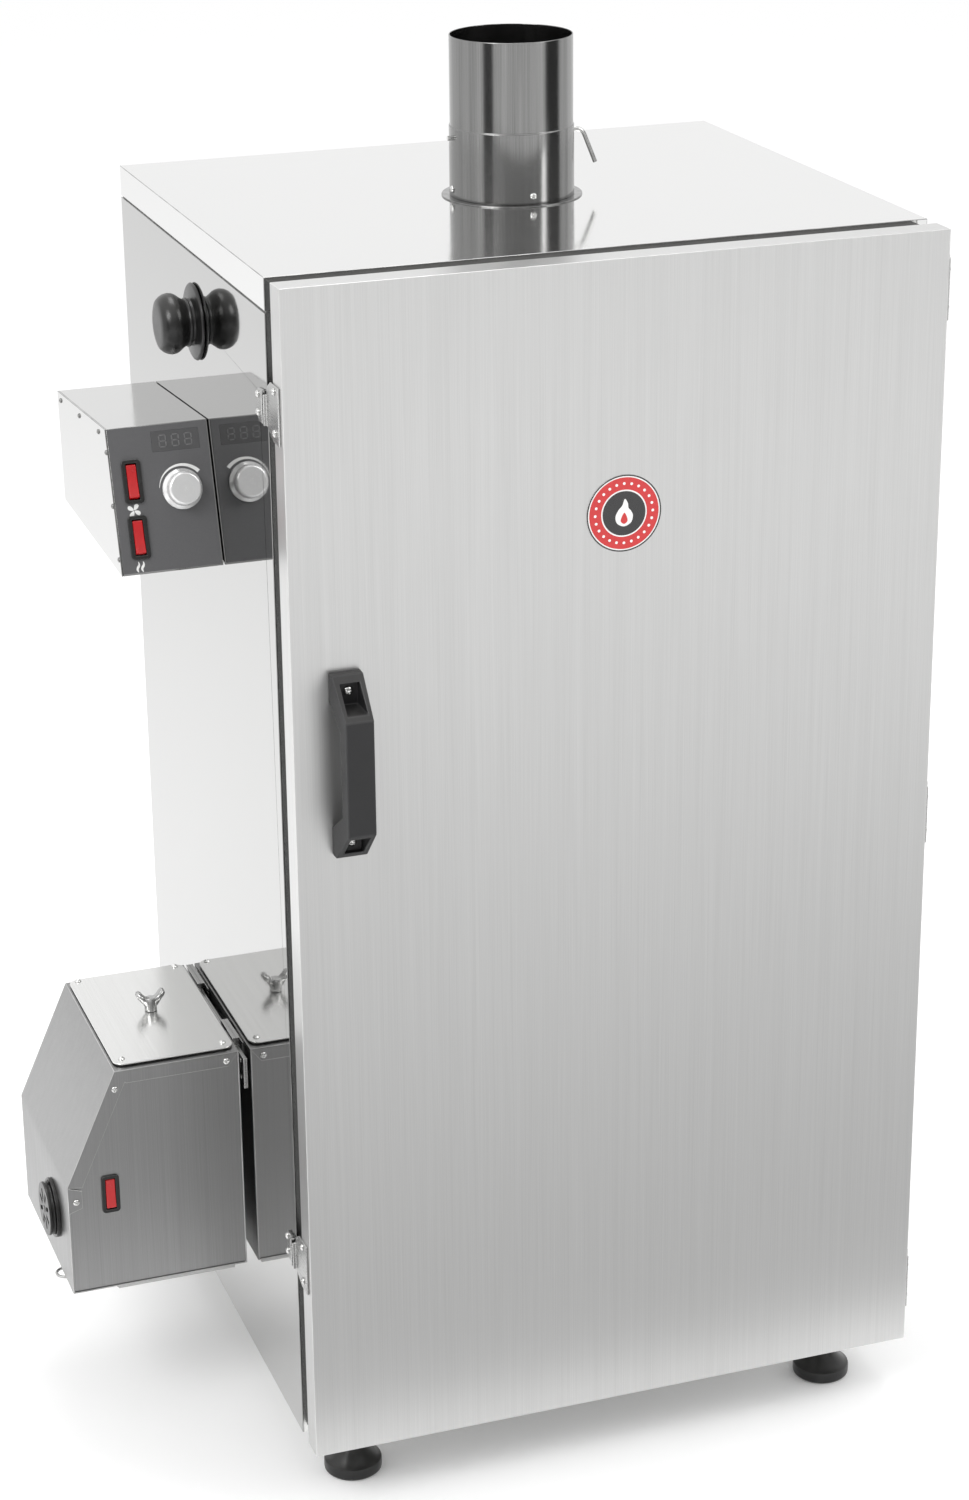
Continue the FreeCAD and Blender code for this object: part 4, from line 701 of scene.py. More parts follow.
def eased(profile, radius, closed=False):
    """A (radius, height) outline whose corners are rounded."""
    points = [Vector(p) for p in profile]
    count = len(points)
    result = []
    for i, corner in enumerate(points):
        if not closed and i in (0, count - 1):
            result.append(corner)
            continue
        before, after = points[i - 1], points[(i + 1) % count]
        back, on = before - corner, after - corner
        reach = min(radius, 0.45 * back.length, 0.45 * on.length)
        if back.normalized().dot(on.normalized()) < -0.97:
            result.append(corner)
            continue
        start, end = corner + back.normalized() * reach, corner + on.normalized() * reach
        for step in range(EASE_STEPS + 1):
            t = step / EASE_STEPS
            result.append(start * (1 - t) ** 2 + corner * 2 * t * (1 - t) + end * t ** 2)
    return result


def spun_mesh(name, profile, centre, axis, closed=False, turns=96):
    """A surface of revolution about an axis through a centre, lengths in millimetres."""
    rows, verts, faces = [], [], []
    for radius, height in profile:
        if radius < 1e-6:
            rows.append([len(verts)] * turns)
            verts.append((0, 0, height * MM))
            continue
        rows.append(list(range(len(verts), len(verts) + turns)))
        for k in range(turns):
            angle = 2 * math.pi * k / turns
            verts.append((radius * MM * math.cos(angle), radius * MM * math.sin(angle), height * MM))
    pairs = list(zip(rows, rows[1:])) + ([(rows[-1], rows[0])] if closed else [])
    for low, high in pairs:
        for k in range(turns):
            ring = [low[k], low[(k + 1) % turns], high[(k + 1) % turns], high[k]]
            face = list(dict.fromkeys(ring))
            if len(face) > 2:
                faces.append(face)
    mesh = bpy.data.meshes.new(name)
    mesh.from_pydata(verts, [], faces)
    distance = mesh.attributes.new("ring", "FLOAT", "POINT")
    for item, vertex in zip(distance.data, mesh.vertices):
        item.value = math.hypot(vertex.co.x, vertex.co.y) + 0.3 * vertex.co.z
    work = bmesh.new()
    work.from_mesh(mesh)
    bmesh.ops.recalc_face_normals(work, faces=work.faces)
    work.to_mesh(mesh)
    work.free()
    mesh.shade_smooth()
    mesh.set_sharp_from_angle(angle=math.radians(40))
    turn = Vector((0, 0, 1)).rotation_difference(Vector(axis)).to_matrix().to_4x4()
    mesh.transform(Matrix.Translation(centre) @ turn)
    return with_modifiers(name, mesh, FLAT_KEEPER)


def spun(name, profile, centre, axis, node, finish, closed=False, turns=96):
    """A spun piece that stands for a CAD node."""
    mesh = spun_mesh(name, profile, centre, axis, closed, turns)
    as_piece(name, mesh, nodes[node]["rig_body"], [node], finish)
    print(name, len(mesh.polygons), "faces")


UP = (0, 0, 1)
LEFT = (-1, 0, 0)
FORWARD = (0, -1, 0)
print("lathe ready")

# %% [markdown]
# The flue is a collar with a flange on the roof, and a pipe whose lower end is a socket one
# sheet wider.

# %% Spin the flue
collar = eased([(57.4, 0), (57.4, 1.0), (48.5, 1.0), (48.5, 16.0), (47.5, 16.0), (47.5, -52.3),
                (48.5, -52.3),
                (48.5, 0)], 0.5, closed=True)
spun("flue_flange", collar, at(FLUE_X, FLUE_Y, ROOF_Z), UP, "flue_collar", flue_steel, closed=True)
PIPE_TOP = 129.3
pipe = eased([(50.8, 1.0), (50.8, 57.0), (50.0, 57.6), (50.0, PIPE_TOP), (49.0, PIPE_TOP), (49.0, 1.0)],
             0.45,
             closed=True)
spun("flue_tube", pipe, at(FLUE_X, FLUE_Y, ROOF_Z), UP, "flue_pipe", flue_steel, closed=True, turns=128)
print("flue height", PIPE_TOP)

# %% [markdown]
# The damper's lever is one bent wire. A curve with a round bevel makes it, turned to a mesh
# before it is placed, and the disc it turns sits inside the pipe.

# %% Bend the damper lever


def wire(name, points, radius, bend):
    """A bent round wire through points in millimetres from the door's corner."""
    curve = bpy.data.curves.new(name, "CURVE")
    curve.dimensions = "3D"
    curve.bevel_depth = radius * MM
    curve.bevel_resolution = 6
    curve.use_fill_caps = True
    path = [Vector(p) for p in points]
    line = [path[0]]
    for before, corner, after in zip(path, path[1:], path[2:]):
        start = corner + (before - corner).normalized() * bend
        end = corner + (after - corner).normalized() * bend
        for step in range(9):
            t = step / 8
            line.append(start * (1 - t) ** 2 + corner * 2 * t * (1 - t) + end * t ** 2)
    line.append(path[-1])
    spline = curve.splines.new("POLY")
    spline.points.add(len(line) - 1)
    for point, place in zip(spline.points, line):
        point.co = (*at(*place), 1)
    mesh = settled_curve(name, curve)
    mesh.shade_smooth()
    mesh.set_sharp_from_angle(angle=math.radians(50))
    return mesh


def settled_curve(name, curve):
    """A curve turned to a plain mesh."""
    holder = bpy.data.objects.new(name, curve)
    scene.collection.objects.link(holder)
    return settled(holder)


DAMPER_Z = ROOF_Z + 49.0
lever = wire("damper_lever", [(215.6, FLUE_Y, DAMPER_Z), (331.5, FLUE_Y, DAMPER_Z),
                              (343.0, FLUE_Y, DAMPER_Z - 28)],
             2.0, 6.0)
as_piece("damper_lever", lever, "damper", ["damper_rod"], bright_steel)
print("lever faces", len(lever.polygons))

# %% [markdown]
# The port stopper is one black moulding: a plug in the wall, a wide flange, a waist to grip
# and a round knob.

# %% Spin the port stopper
stopper = [(0, 31.8), (12, 31.75), (16.8, 31.4), (19.8, 30.4), (22.2, 27.9), (23.7, 25.0), (24.4, 21.6),
           (23.9, 18.2),
           (22.8, 16.0), (21.2, 13.9), (19.8, 12.0), (18.9, 10.4), (18.7, 9.3), (19.4, 8.6), (19.6, 7.9),
           (19.4, 7.0),
           (18.5, 6.4), (18.8, 4.6), (20.4, 3.9), (29.0, 3.2), (30.4, 2.5), (31.0, 1.6), (30.6, 0.7),
           (29.6, 0.3),
           (19.4, 0.3), (19.4, -1.0), (17.2, -19.2), (16.4, -20.0), (0, -20.0)]
print("stopper stands out", stopper[0][1], "mm")
spun("port_stopper_moulding", stopper, at(0, 246, 908), LEFT, "port_stopper", gloss_plastic)

# %% [markdown]
# Each levelling foot is a moulded dish on a short threaded stem.

# %% Spin the levelling feet
foot = [(0, 0), (20.5, 0), (23.2, 0.4), (24.5, 1.6), (24.8, 3.2), (24.8, 9.2), (24.3, 10.6), (23.0, 11.3),
        (21.0, 12.4), (17.5, 15.8), (13.6, 19.6), (10.6, 22.6), (9.0, 26.0), (8.3, 30.0), (8.0, 34.0),
        (7.4, 35.2),
        (5.0, 36.0)]
THREAD_PITCH = 1.5
height, THREAD_END = 36.0, 74.0
while height < THREAD_END:
    foot += [(5.0, height + 0.2), (4.55, height + THREAD_PITCH / 2), (5.0, height + THREAD_PITCH - 0.2)]
    height += THREAD_PITCH
foot += [(4.6, 75.8), (0, 75.8)]
FOOT_PLACES = ((50.1, 63.1), (489.9, 63.1), (50.1, 463.4), (489.9, 463.4))
for number, (x, y) in enumerate(FOOT_PLACES, 1):
    spun("foot_%d_moulding" % number, foot, at(x, y, FLOOR_Z), UP, "levelling_foot_%d" % number,
         gloss_plastic,
         turns=64)

# %% [markdown]
# The temperature knob is turned from aluminium bar: a sloping skirt, a waisted grip and a
# faced end whose lathe rings flash in the light. Its grip is finely ribbed for the fingers.

# %% Places on the sloping control panel
PANEL_FOOT = at(0, 186.1, 722.2)
slope = (at(0, 221.9, 833.9) - PANEL_FOOT).normalized()
outward = Vector((1, 0, 0)).cross(slope)
LABEL = 0.8


def panel_matrix(x, up_slope, out):
    """The place of a mark on the panel: X across, Y up the slope, Z outwards."""
    origin = PANEL_FOOT + (Vector((x, 0, 0)) + slope * up_slope + outward * out) * MM
    turn = Matrix((Vector((1, 0, 0)), slope, outward)).transposed().to_4x4()
    return Matrix.Translation(origin) @ turn


KNOB_X, KNOB_UP = -27.4, 64.2
print("panel slope", [round(v, 4) for v in slope])

# %% Spin the temperature knob
knob = eased([(0, 14.4), (11.6, 14.4), (12.4, 14.0), (13.2, 12.9), (13.5, 6.2), (14.6, 5.0), (16.3, 3.3),
              (16.3, 1.2),
              (3.0, 1.2), (3.0, -12.0), (0, -12.0)], 0.4)
spun("temperature_knob_turned", knob, panel_matrix(KNOB_X, KNOB_UP, 0).translation, outward,
     "temperature_knob",
     turned_aluminium, turns=128)

# %% [markdown]
# ## Pieces that repeat
# A ring of equal marks, such as ribs or dots, is one rule: so many copies, so far from the
# centre, through so wide a sweep. Geometry Nodes follow that rule, and the same tree serves
# the knob's ribs and the badge's dots.

# %% Geometry Nodes tree: a ring of marks


def geometry_tree(name, inputs):
    """An empty tree with a geometry in and out and named inputs."""
    tree = bpy.data.node_groups.new(name, "GeometryNodeTree")
    tree.interface.new_socket("Geometry", in_out="INPUT", socket_type="NodeSocketGeometry")
    for label, kind in inputs:
        tree.interface.new_socket(label, in_out="INPUT", socket_type="NodeSocket" + kind)
    tree.interface.new_socket("Geometry", in_out="OUTPUT", socket_type="NodeSocketGeometry")
    return tree, tree.nodes.new("NodeGroupInput"), tree.nodes.new("NodeGroupOutput")


def finish_tree(tree, group_in, group_out, instances):
    """Ends a tree with real geometry in one finish."""
    real = add_node(tree, "GeometryNodeRealizeInstances", {"Geometry": instances})
    coat = add_node(tree, "GeometryNodeSetMaterial",
                    {"Geometry": real.outputs["Geometry"], "Material": group_in.outputs["Finish"]})
    tree.links.new(coat.outputs["Geometry"], group_out.inputs["Geometry"])


ring_tree, ring_in, ring_out = geometry_tree("ring of marks", [
    ("Mark", "Object"), ("Count", "Int"), ("Radius", "Float"), ("Start", "Float"), ("Sweep", "Float"),
    ("Finish", "Material")])
told = ring_in.outputs
number = add_node(ring_tree, "GeometryNodeInputIndex").outputs[0]
turned_by = math_node(ring_tree, "MULTIPLY", math_node(ring_tree, "DIVIDE", number, told["Count"]),
                      told["Sweep"])
turned_by = math_node(ring_tree, "ADD", turned_by, told["Start"])
across, along = (math_node(ring_tree, "MULTIPLY", math_node(ring_tree, kind, turned_by), told["Radius"])
                 for kind in ("COSINE", "SINE"))
spots = add_node(ring_tree, "GeometryNodePoints", {"Count": told["Count"]})
spot_place = add_node(ring_tree, "ShaderNodeCombineXYZ", {"X": across, "Y": along})
spot_turn = add_node(ring_tree, "ShaderNodeCombineXYZ", {"Z": turned_by})
move = add_node(ring_tree, "GeometryNodeSetPosition",
                {"Geometry": spots.outputs["Points"], "Position": spot_place.outputs[0]})
mark_source = add_node(ring_tree, "GeometryNodeObjectInfo", {"Object": told["Mark"]})
copies = add_node(ring_tree, "GeometryNodeInstanceOnPoints", {
    "Points": move.outputs["Geometry"], "Instance": mark_source.outputs["Geometry"],
    "Rotation": spot_turn.outputs[0]})
finish_tree(ring_tree, ring_in, ring_out, copies.outputs["Instances"])
print("tree", ring_tree.name, "nodes", len(ring_tree.nodes))

# %% Helper: run a tree and keep its plain mesh


def grown(name, tree, base_mesh, **values):
    """The mesh that a Geometry Nodes tree makes from a base mesh and its named inputs."""
    holder = bpy.data.objects.new(name, base_mesh)
    scene.collection.objects.link(holder)
    modifier = holder.modifiers.new("tree", "NODES")
    modifier.node_group = tree
    for socket in tree.interface.items_tree:
        key = socket.name.replace(" ", "_")
        if socket.item_type == "SOCKET" and socket.in_out == "INPUT" and key in values:
            modifier[socket.identifier] = values[key]
    mesh = settled(holder)
    mesh.name = name
    return mesh


def pattern(name, mesh):
    """An object that a tree copies."""
    holder = bpy.data.objects.new(name, mesh)
    scene.collection.objects.link(holder)
    return holder


def rounded_block(name, size, bevel):
    """A small block centred on the origin, with rounded edges, in millimetres."""
    work = bmesh.new()
    bmesh.ops.create_cube(work, size=1.0)
    bmesh.ops.scale(work, vec=Vector(size) * MM, verts=work.verts)
    bmesh.ops.bevel(work, geom=work.edges[:], offset=bevel * MM, segments=1, affect="EDGES")
    mesh = bpy.data.meshes.new(name)
    work.to_mesh(mesh)
    work.free()
    mesh.shade_smooth()
    return mesh


rib = pattern("knob_rib", rounded_block("knob_rib", (0.35, 0.5, 6.4), 0.12))
ribs = grown("knob_ribs", ring_tree, bpy.data.meshes.new("base"), Mark=rib, Count=64, Radius=13.32 * MM,
             Start=0.0,
             Sweep=2 * math.pi, Finish=turned_aluminium)
ribs.transform(panel_matrix(KNOB_X, KNOB_UP, 9.5))
as_piece("knob_ribs", ribs, "knob")
bpy.data.objects.remove(rib)
print("knob ribs", len(ribs.polygons), "faces")

# %% [markdown]
# Every sheet is held by pan-head screws with a cross recess, and by a few rivets. One head is
# made once, with the cross cut out of its dome. A second tree then sets it on points, each of
# which says where its screw looks and how large it is, and turns every cross by chance, as a
# screwdriver leaves them. The seed is fixed, so the result is the same each time.

# %% Geometry Nodes tree: heads on points
head_tree, head_in, head_out = geometry_tree("heads on points", [
    ("Head", "Object"), ("Seed", "Int"), ("Finish", "Material")])


def own_value(name, kind):
    """A point's own attribute."""
    node = add_node(head_tree, "GeometryNodeInputNamedAttribute", {"Name": name}, data_type=kind)
    return node.outputs["Attribute"]


told = head_in.outputs
aim = add_node(head_tree, "FunctionNodeAlignRotationToVector", {"Vector": own_value("aim", "FLOAT_VECTOR")},
               axis="Z")
chance = add_node(head_tree, "FunctionNodeRandomValue", {"Seed": told["Seed"]}, data_type="FLOAT")
for label, value in (("Min", 0.0), ("Max", math.pi / 2)):
    next(s for s in chance.inputs if s.name == label and s.enabled).default_value = value
twist = add_node(head_tree, "FunctionNodeAxisAngleToRotation", {
    "Axis": (0, 0, 1), "Angle": next(s for s in chance.outputs if s.enabled)})
both = add_node(head_tree, "FunctionNodeRotateRotation", {
    "Rotation": aim.outputs["Rotation"], "Rotate By": twist.outputs["Rotation"]}, rotation_space="LOCAL")
head_source = add_node(head_tree, "GeometryNodeObjectInfo", {"Object": told["Head"]})
heads = add_node(head_tree, "GeometryNodeInstanceOnPoints", {
    "Points": told["Geometry"], "Instance": head_source.outputs["Geometry"],
    "Rotation": both.outputs["Rotation"], "Scale": own_value("size", "FLOAT")})
finish_tree(head_tree, head_in, head_out, heads.outputs["Instances"])
print("tree", head_tree.name, "nodes", len(head_tree.nodes))

# %% Make the two heads


def screw_head():
    """A pan head of 3 mm radius with a cross recess, on a short shank."""
    dome = [(0, 2.0), (1.0, 1.93), (1.9, 1.68), (2.5, 1.3), (2.86, 0.9), (3.0, 0.5), (3.0, 0.12),
            (2.9, 0.0),
            (1.5, 0.0), (1.5, -4.8), (0, -5.0)]
    head = pattern("screw_head", spun_mesh("screw_head", dome, Vector(), UP, turns=20))
    cutters = []
    for across in ((3.1, 0.8), (0.8, 3.1)):
        cutter = pattern("cross", rounded_block("cross", (*across, 2.4), 0.05))
        cutter.location.z = 2.1 * MM
        cutters.append(cutter)
        cut = head.modifiers.new("cross", "BOOLEAN")
        cut.operation = "DIFFERENCE"
        cut.object = cutter
    bpy.context.view_layer.update()
    mesh = settled(head)
    for cutter in cutters:
        bpy.data.objects.remove(cutter)
    return mesh


def rivet_head():
    """A domed rivet of 3 mm radius."""
    dome = [(0, 2.0), (1.2, 1.84), (2.2, 1.3), (2.8, 0.6), (3.0, 0.0), (1.4, 0.0), (1.4, -1.4), (0, -1.4)]
    return spun_mesh("rivet_head", dome, Vector(), UP, turns=20)


screw_pattern = pattern("screw_pattern", screw_head())
rivet_pattern = pattern("rivet_pattern", rivet_head())
print("screw head", len(screw_pattern.data.polygons), "faces")

# %% Set the heads on their points
RIGHT = (1, 0, 0)
FLUE_SCREWS = [(FLUE_X + x * 50.8, FLUE_Y + y * 50.8, ROOF_Z + 7.5, (x, y, 0), 1.0)
               for x, y in ((0, -1), (-1, 0), (0, 1), (1, 0))]
HINGE_MIDDLES = (940.4, 497.9, 56.2)
CATCH_MIDDLES = (888.8, 171.8)
HINGE_BODY_SCREWS = [(542.0, 52.9, z + side, RIGHT, 1.0) for z in HINGE_MIDDLES for side in (-15, 15)]
HINGE_DOOR_SCREWS = [(542.0, 5.8, z + side, RIGHT, 1.0) for z in HINGE_MIDDLES for side in (-15, 15)]
KEEPER_SCREWS = [(-1.8, 59.5, z + side, LEFT, 1.0) for z in CATCH_MIDDLES for side in (-7, 7)]
CATCH_SCREWS = [(-1.6, 16.0, z + 3.4 + side, LEFT, 1.0) for z in CATCH_MIDDLES for side in (-15.9, 15.9)]
GENERATOR_SCREWS = [(x, 184.1, z, FORWARD, 1.0) for x,
                    z in ((-113.5, 273.8), (-16.2, 283.2), (-151.8, 173.5))]
COVER_SCREWS = [(-84.0, y, z, LEFT, 0.7) for y,
                z in ((383, 816.4), (313, 821.4), (244, 826.2), (219.2, 815.5),
                                                     (205.8, 775.0), (192.6, 734.5))]
HANDLE_SCREWS = [(42.0, -8.0, 614.6 + side, FORWARD, 1.33) for side in (-62, 62)]
LID_RIVETS = [(x, y, 293.1, UP, 1.0) for x in (-103, -15) for y in (200, 363)]
RAIL_RIVETS = [(-1.6, y, z, LEFT, 0.75) for y, z in ((300, 268), (193, 277), (193, 262))]


def set_heads(name, places, head, seed, body, replaced=(), finish=bright_steel):
    """One mesh of heads on a list of (x, y, z, direction, size)."""
    points = bpy.data.meshes.new(name)
    points.from_pydata([at(*p[:3]) for p in places], [], [])
    looks = points.attributes.new("aim", "FLOAT_VECTOR", "POINT")
    looks.data.foreach_set("vector", [share for p in places for share in p[3]])
    sizes = points.attributes.new("size", "FLOAT", "POINT")
    sizes.data.foreach_set("value", [p[4] for p in places])
    mesh = grown(name, head_tree, points, Head=head, Seed=seed, Finish=finish)
    mesh.set_sharp_from_angle(angle=math.radians(40))
    as_piece(name, mesh, body, replaced)
    print(name, len(places), "heads", len(mesh.polygons), "faces")


set_heads("cabinet_screw_heads", FLUE_SCREWS + HINGE_BODY_SCREWS + KEEPER_SCREWS + GENERATOR_SCREWS,
          screw_pattern, 11, "cabinet", ["cabinet_screws"])
set_heads("cover_screw_heads", COVER_SCREWS, screw_pattern, 17, "cabinet", (),
          dark_screw_steel)
set_heads("door_screw_heads", HINGE_DOOR_SCREWS + CATCH_SCREWS + HANDLE_SCREWS, screw_pattern, 23, "door",
          ["door_screws"])
set_heads("rail_rivet_heads", RAIL_RIVETS, rivet_pattern, 5, "cabinet")
set_heads("lid_rivet_heads", LID_RIVETS, rivet_pattern, 7, "hopper_lid")
bpy.data.objects.remove(screw_pattern)
bpy.data.objects.remove(rivet_pattern)

# %% [markdown]
# ## Wing nut
# The lid's wing nut is a casting: a round hub whose top flares into two stubby ears with a
# notch between them. A closed side view is given its thickness, its edges are rounded and
# the hub is joined to it with a Boolean.

# %% Cast the wing nut
NUT_X, NUT_Y = -56.5, 283.5
NUT_FOOT = (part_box("wing_nut")[0] - door_corner).z / MM
EAR_HALF = 3.4
EAR = [(0.0, 4.0), (5.0, 4.0), (8.0, 8.4), (12.2, 13.6), (12.9, 16.6), (11.2, 18.9), (8.9, 18.4),
       (5.6, 13.9),
       (2.6, 11.6), (0.0, 11.0)]
NUT_SIDE = EAR + [(-x, z) for x, z in EAR[-2:0:-1]]
ears = bmesh.new()
front = ears.faces.new([ears.verts.new((x * MM, -EAR_HALF * MM, z * MM)) for x, z in NUT_SIDE])
lifted = bmesh.ops.extrude_face_region(ears, geom=[front])
bmesh.ops.translate(ears, verts=[v for v in lifted["geom"] if isinstance(v, bmesh.types.BMVert)],
                    vec=(0, 2 * EAR_HALF * MM, 0))
bmesh.ops.recalc_face_normals(ears, faces=ears.faces)
bmesh.ops.bevel(ears, geom=ears.edges[:], offset=0.9 * MM, segments=3, affect="EDGES", clamp_overlap=True)
ear_mesh = bpy.data.meshes.new("nut_ears")
ears.to_mesh(ear_mesh)
ears.free()
nut = pattern("nut_ears", ear_mesh)
hub_side = eased([(0, 12.0), (4.6, 12.0), (5.5, 0.3), (0, 0.3)], 0.5)
hub = pattern("nut_hub", spun_mesh("nut_hub", hub_side, Vector(), UP, turns=40))
weld = nut.modifiers.new("hub", "BOOLEAN")
weld.operation = "UNION"
weld.object = hub
bpy.context.view_layer.update()
nut_mesh = settled(nut)
bpy.data.objects.remove(hub)
nut_mesh.transform(Matrix.Translation(at(NUT_X, NUT_Y, NUT_FOOT - 0.2)))
nut_mesh.set_sharp_from_angle(angle=math.radians(50))
as_piece("wing_nut_cast", nut_mesh, "wing_nut", ["wing_nut"], cast_steel)
print("wing nut from", round(NUT_FOOT, 2))

# %% [markdown]
# ## Badge
# The door carries a round enamelled badge. This one is plain: a red ring between white lines,
# a ring of dots and a black middle with a simple flame, so that it names no maker.

# %% Helpers: flat marks with a thickness


def flat_mark(name, outline, thickness, place, body, finish):
    """A thin raised mark from a closed outline in millimetres, on a plane of its own."""
    work = bmesh.new()
    loop = [work.verts.new((x * MM, y * MM, 0)) for x, y in outline]
    face = work.faces.new(loop)
    work.normal_update()
    if face.normal.z < 0:
        face.normal_flip()
    lifted = bmesh.ops.extrude_face_region(work, geom=[face])
    tops = [item for item in lifted["geom"] if isinstance(item, bmesh.types.BMVert)]
    bmesh.ops.translate(work, verts=tops, vec=(0, 0, thickness * MM))
    bmesh.ops.recalc_face_normals(work, faces=work.faces)
    mesh = bpy.data.meshes.new(name)
    work.to_mesh(mesh)
    work.free()
    mesh.transform(place)
    as_piece(name, mesh, body, (), finish)


def badge_disc(name, inner, outer, low, high, finish, replaced=()):
    """A flat ring on the badge, or a disc where inner is nought, with eased edges."""
    if inner > 0:
        profile = eased([(inner, low), (outer, low), (outer, high), (inner, high)], 0.15, closed=True)
    else:
        profile = eased([(0, high), (outer, high), (outer, low), (0, low)], 0.2)
    mesh = spun_mesh(name, profile, Vector(), UP, inner > 0)
    mesh.transform(badge_place)
    as_piece(name, mesh, "door", replaced, finish)


def curve_outline(points, steps=8):
    """A closed smooth outline through points, as a Catmull-Rom line."""
    count, result = len(points), []
    for i in range(count):
        a, b, c, d = (Vector(points[(i + k) % count]) for k in (-1, 0, 1, 2))
        for step in range(steps):
            t = step / steps
            result.append(0.5 * (2 * b + (c - a) * t + (2 * a - 5 * b + 4 * c - d) * t ** 2
                                 + (3 * b - a - 3 * c + d) * t ** 3))
    return [tuple(p) for p in result]


BADGE_RADIUS = 30.8
facing_door = Matrix(((1, 0, 0), (0, 0, -1), (0, 1, 0))).to_4x4()
badge_place = Matrix.Translation(at(269.6, 0, 789.3)) @ facing_door
badge_disc("badge_plate", 0, BADGE_RADIUS, 0.0, 0.45, white_enamel, ["door_badge"])
badge_disc("badge_rim", 29.7, BADGE_RADIUS, 0.4, 0.6, black_enamel)
badge_disc("badge_red_ring", 18.9, 28.7, 0.4, 0.62, red_enamel)
badge_disc("badge_middle", 0, 17.7, 0.4, 0.66, black_enamel)
dot = pattern("badge_dot", spun_mesh("badge_dot", [(0, 0.2), (0.8, 0.18), (1.15, 0.0)], Vector(), UP,
                                     turns=16))
dots = grown("badge_dots", ring_tree, bpy.data.meshes.new("base"), Mark=dot, Count=24, Radius=23.8 * MM,
             Start=0.0,
             Sweep=2 * math.pi, Finish=white_enamel)
dots.transform(badge_place @ Matrix.Translation((0, 0, 0.62 * MM)))
as_piece("badge_dots", dots, "door")
bpy.data.objects.remove(dot)
FLAME = [(0.5, 11.5), (-1.5, 6.5), (-5.0, 2.5), (-7.2, -2.5), (-5.6, -7.8), (0.0, -10.4), (5.6, -7.8),
         (7.2, -2.4),
         (5.6, 1.6), (3.6, 4.0), (3.0, 8.0)]
CORE = [(0.2, 0.5), (-2.4, -3.6), (-2.6, -6.6), (0.0, -8.4), (2.6, -6.6), (2.4, -3.6)]
for name, outline, thickness, height, finish in (("badge_flame", FLAME, 0.14, 0.64, white_enamel),
                                                 ("badge_flame_core", CORE, 0.12, 0.76, red_enamel)):
    flat_mark(name, curve_outline(outline), thickness,
              badge_place @ Matrix.Translation((0, 0, height * MM)),
              "door", finish)
print("badge built")

# %% [markdown]
# ## Control panel
# The panel's marks are thin ink: a fan and a heat sign under the rockers, and a scale that
# widens as the heat rises round the knob. The display's segments show faintly when unlit.

# %% Print the panel's marks
INK = 0.12


def ink(name, outline, x, up_slope, turn=0.0):
    """One printed mark on the panel."""
    place = panel_matrix(x, up_slope, LABEL - 0.02) @ Matrix.Rotation(turn, 4, "Z")
    flat_mark(name, outline, INK, place, "cabinet", white_ink)


BLADE = [(0.25, 0.3), (0.0, 2.2), (0.9, 4.5), (2.9, 5.0), (4.1, 3.7), (3.3, 2.0), (1.7, 0.7)]
for k in range(4):
    ink("fan_mark_%d" % k, curve_outline(BLADE, 5), -68.1, 51.1, math.radians(90 * k))
WAVE = [(-0.2, -4.2), (-2.3, -2.3), (-1.8, 0.2), (0.1, 2.2), (0.2, 4.4), (1.7, 2.4), (1.3, 0.2),
        (-0.2, -1.6)]
for k, shift in enumerate((-1.9, 1.9)):
    ink("heat_mark_%d" % k, curve_outline([(x * 0.8 + shift, y) for x, y in WAVE], 5), -68.0, 6.2)

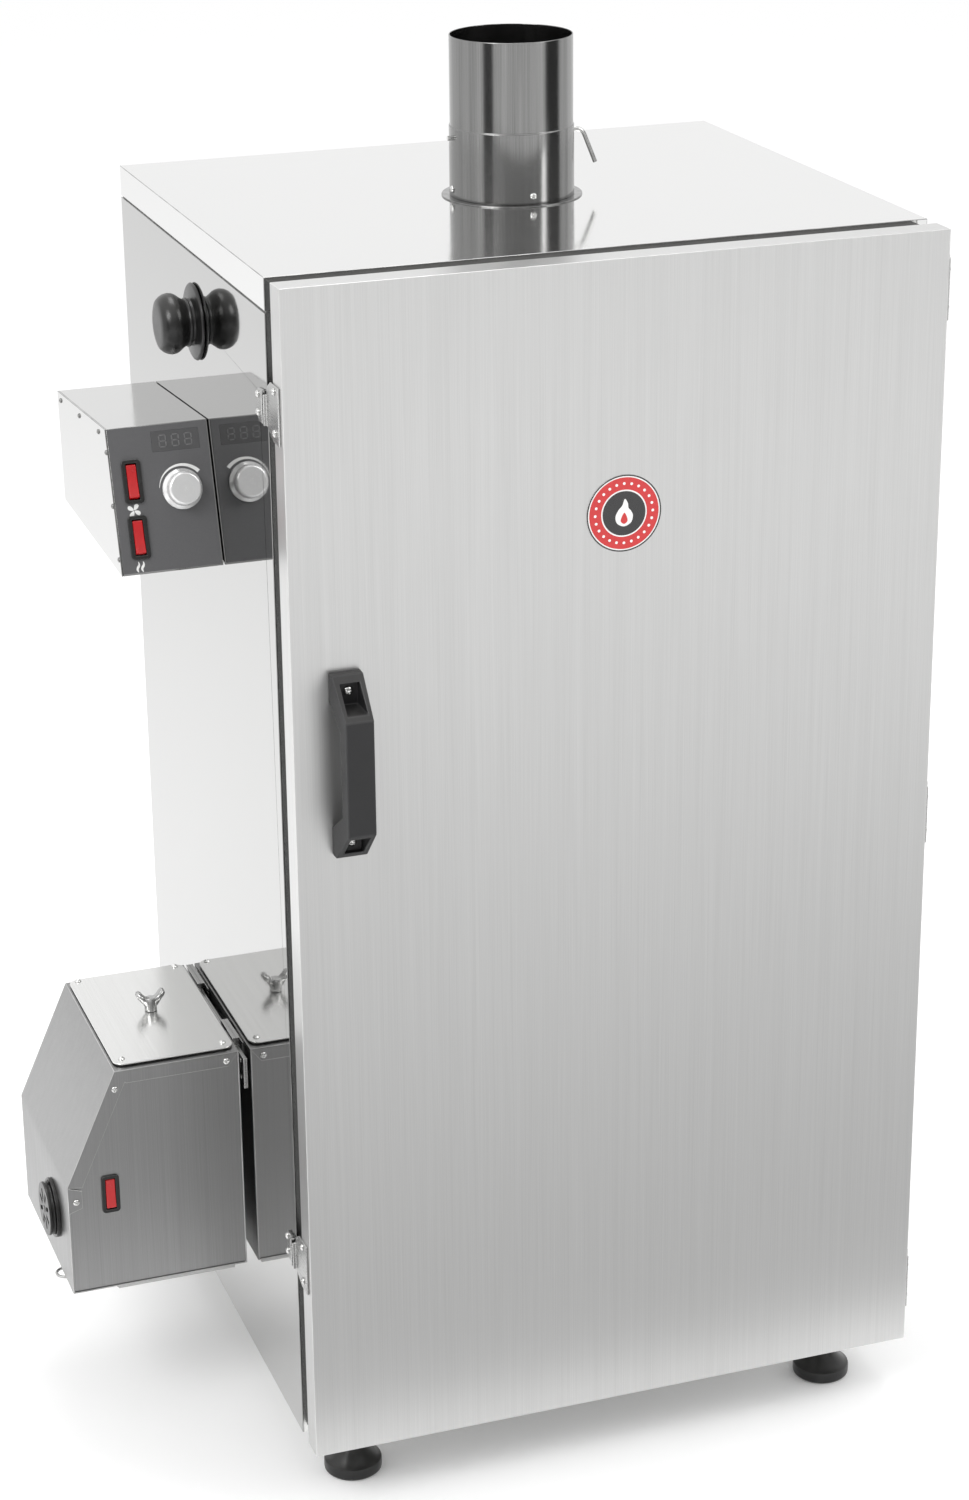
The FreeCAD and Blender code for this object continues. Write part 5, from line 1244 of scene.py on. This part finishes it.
SCALE_START, SCALE_END = math.radians(172), math.radians(40)
outer_edge, inner_edge = [], []
for step in range(49):
    t = step / 48
    angle = SCALE_START + (SCALE_END - SCALE_START) * t
    for edge, radius in ((outer_edge, 18.4 + 2.9 * t), (inner_edge, 18.1 + 0.2 * t)):
        edge.append((radius * math.cos(angle), radius * math.sin(angle)))
ink("heat_scale", outer_edge + inner_edge[::-1], KNOB_X, KNOB_UP)
print("panel marks printed")

# %% Build the display
DISPLAY_X, DISPLAY_UP = -28.2, 103.5
soften("display_window", 0.25, window_dark)
SEGMENTS = {"across": [(0, 4.6), (0, 0), (0, -4.6)],
            "upright": [(-2.7, 2.3), (2.7, 2.3), (-2.7, -2.3), (2.7, -2.3)]}
for digit, shift in enumerate((-10.5, 0.0, 10.5)):
    for kind, places in SEGMENTS.items():
        for k, (dx, dy) in enumerate(places):
            length, width = (4.4, 1.0) if kind == "across" else (1.0, 3.7)
            bar = rounded_block("bar", (length, width, 0.1), 0.02)
            bar.transform(panel_matrix(DISPLAY_X + shift + dx, DISPLAY_UP + dy, LABEL + 0.03))
            as_piece("digit_%d_%s_%d" % (digit, kind, k), bar, "cabinet", (), digit_dim)
print("display at", DISPLAY_X, DISPLAY_UP)

# %% [markdown]
# ## Air valve
# The valve on the generator's end is a black moulded seat and a slotted dial that turns over
# it to open or close the slots.

# %% Round the air valve
for node in ("air_valve_seat", "air_valve_dial"):
    soften(node, 0.5, gloss_plastic)
print("air valve rounded")

# %% [markdown]
# ## Inside
# The pieces behind the door and inside the housings keep the engineering model's shape, which
# is right for bent sheet, wire and rod. Each gets its finish.

# %% Finish the remaining pieces
KEPT = {
    satin_steel: ("front_frame", "door_inner_panel", "base_panel", "chamber_liner", "rack_rails"),
    bright_steel: ("smoke_racks", "hinge_pins", "temperature_probe", "wall_sleeves", "damper_disc"),
    plain_steel: ("roof_frame", "heating_elements", "chip_hopper", "feed_chute", "feed_rotor"),
    front_steel: ("generator_end_plates",),
    mineral_wool: ("wall_insulation", "door_insulation"),
    seal_rubber: ("door_gasket",),
    bezel_plastic: ("feed_motor",),
    board_green: ("circuit_board",),
}
for finish, names in KEPT.items():
    for name in names:
        for place in nodes[name].material_slots:
            place.material = finish
    print(finish.name, len(names))
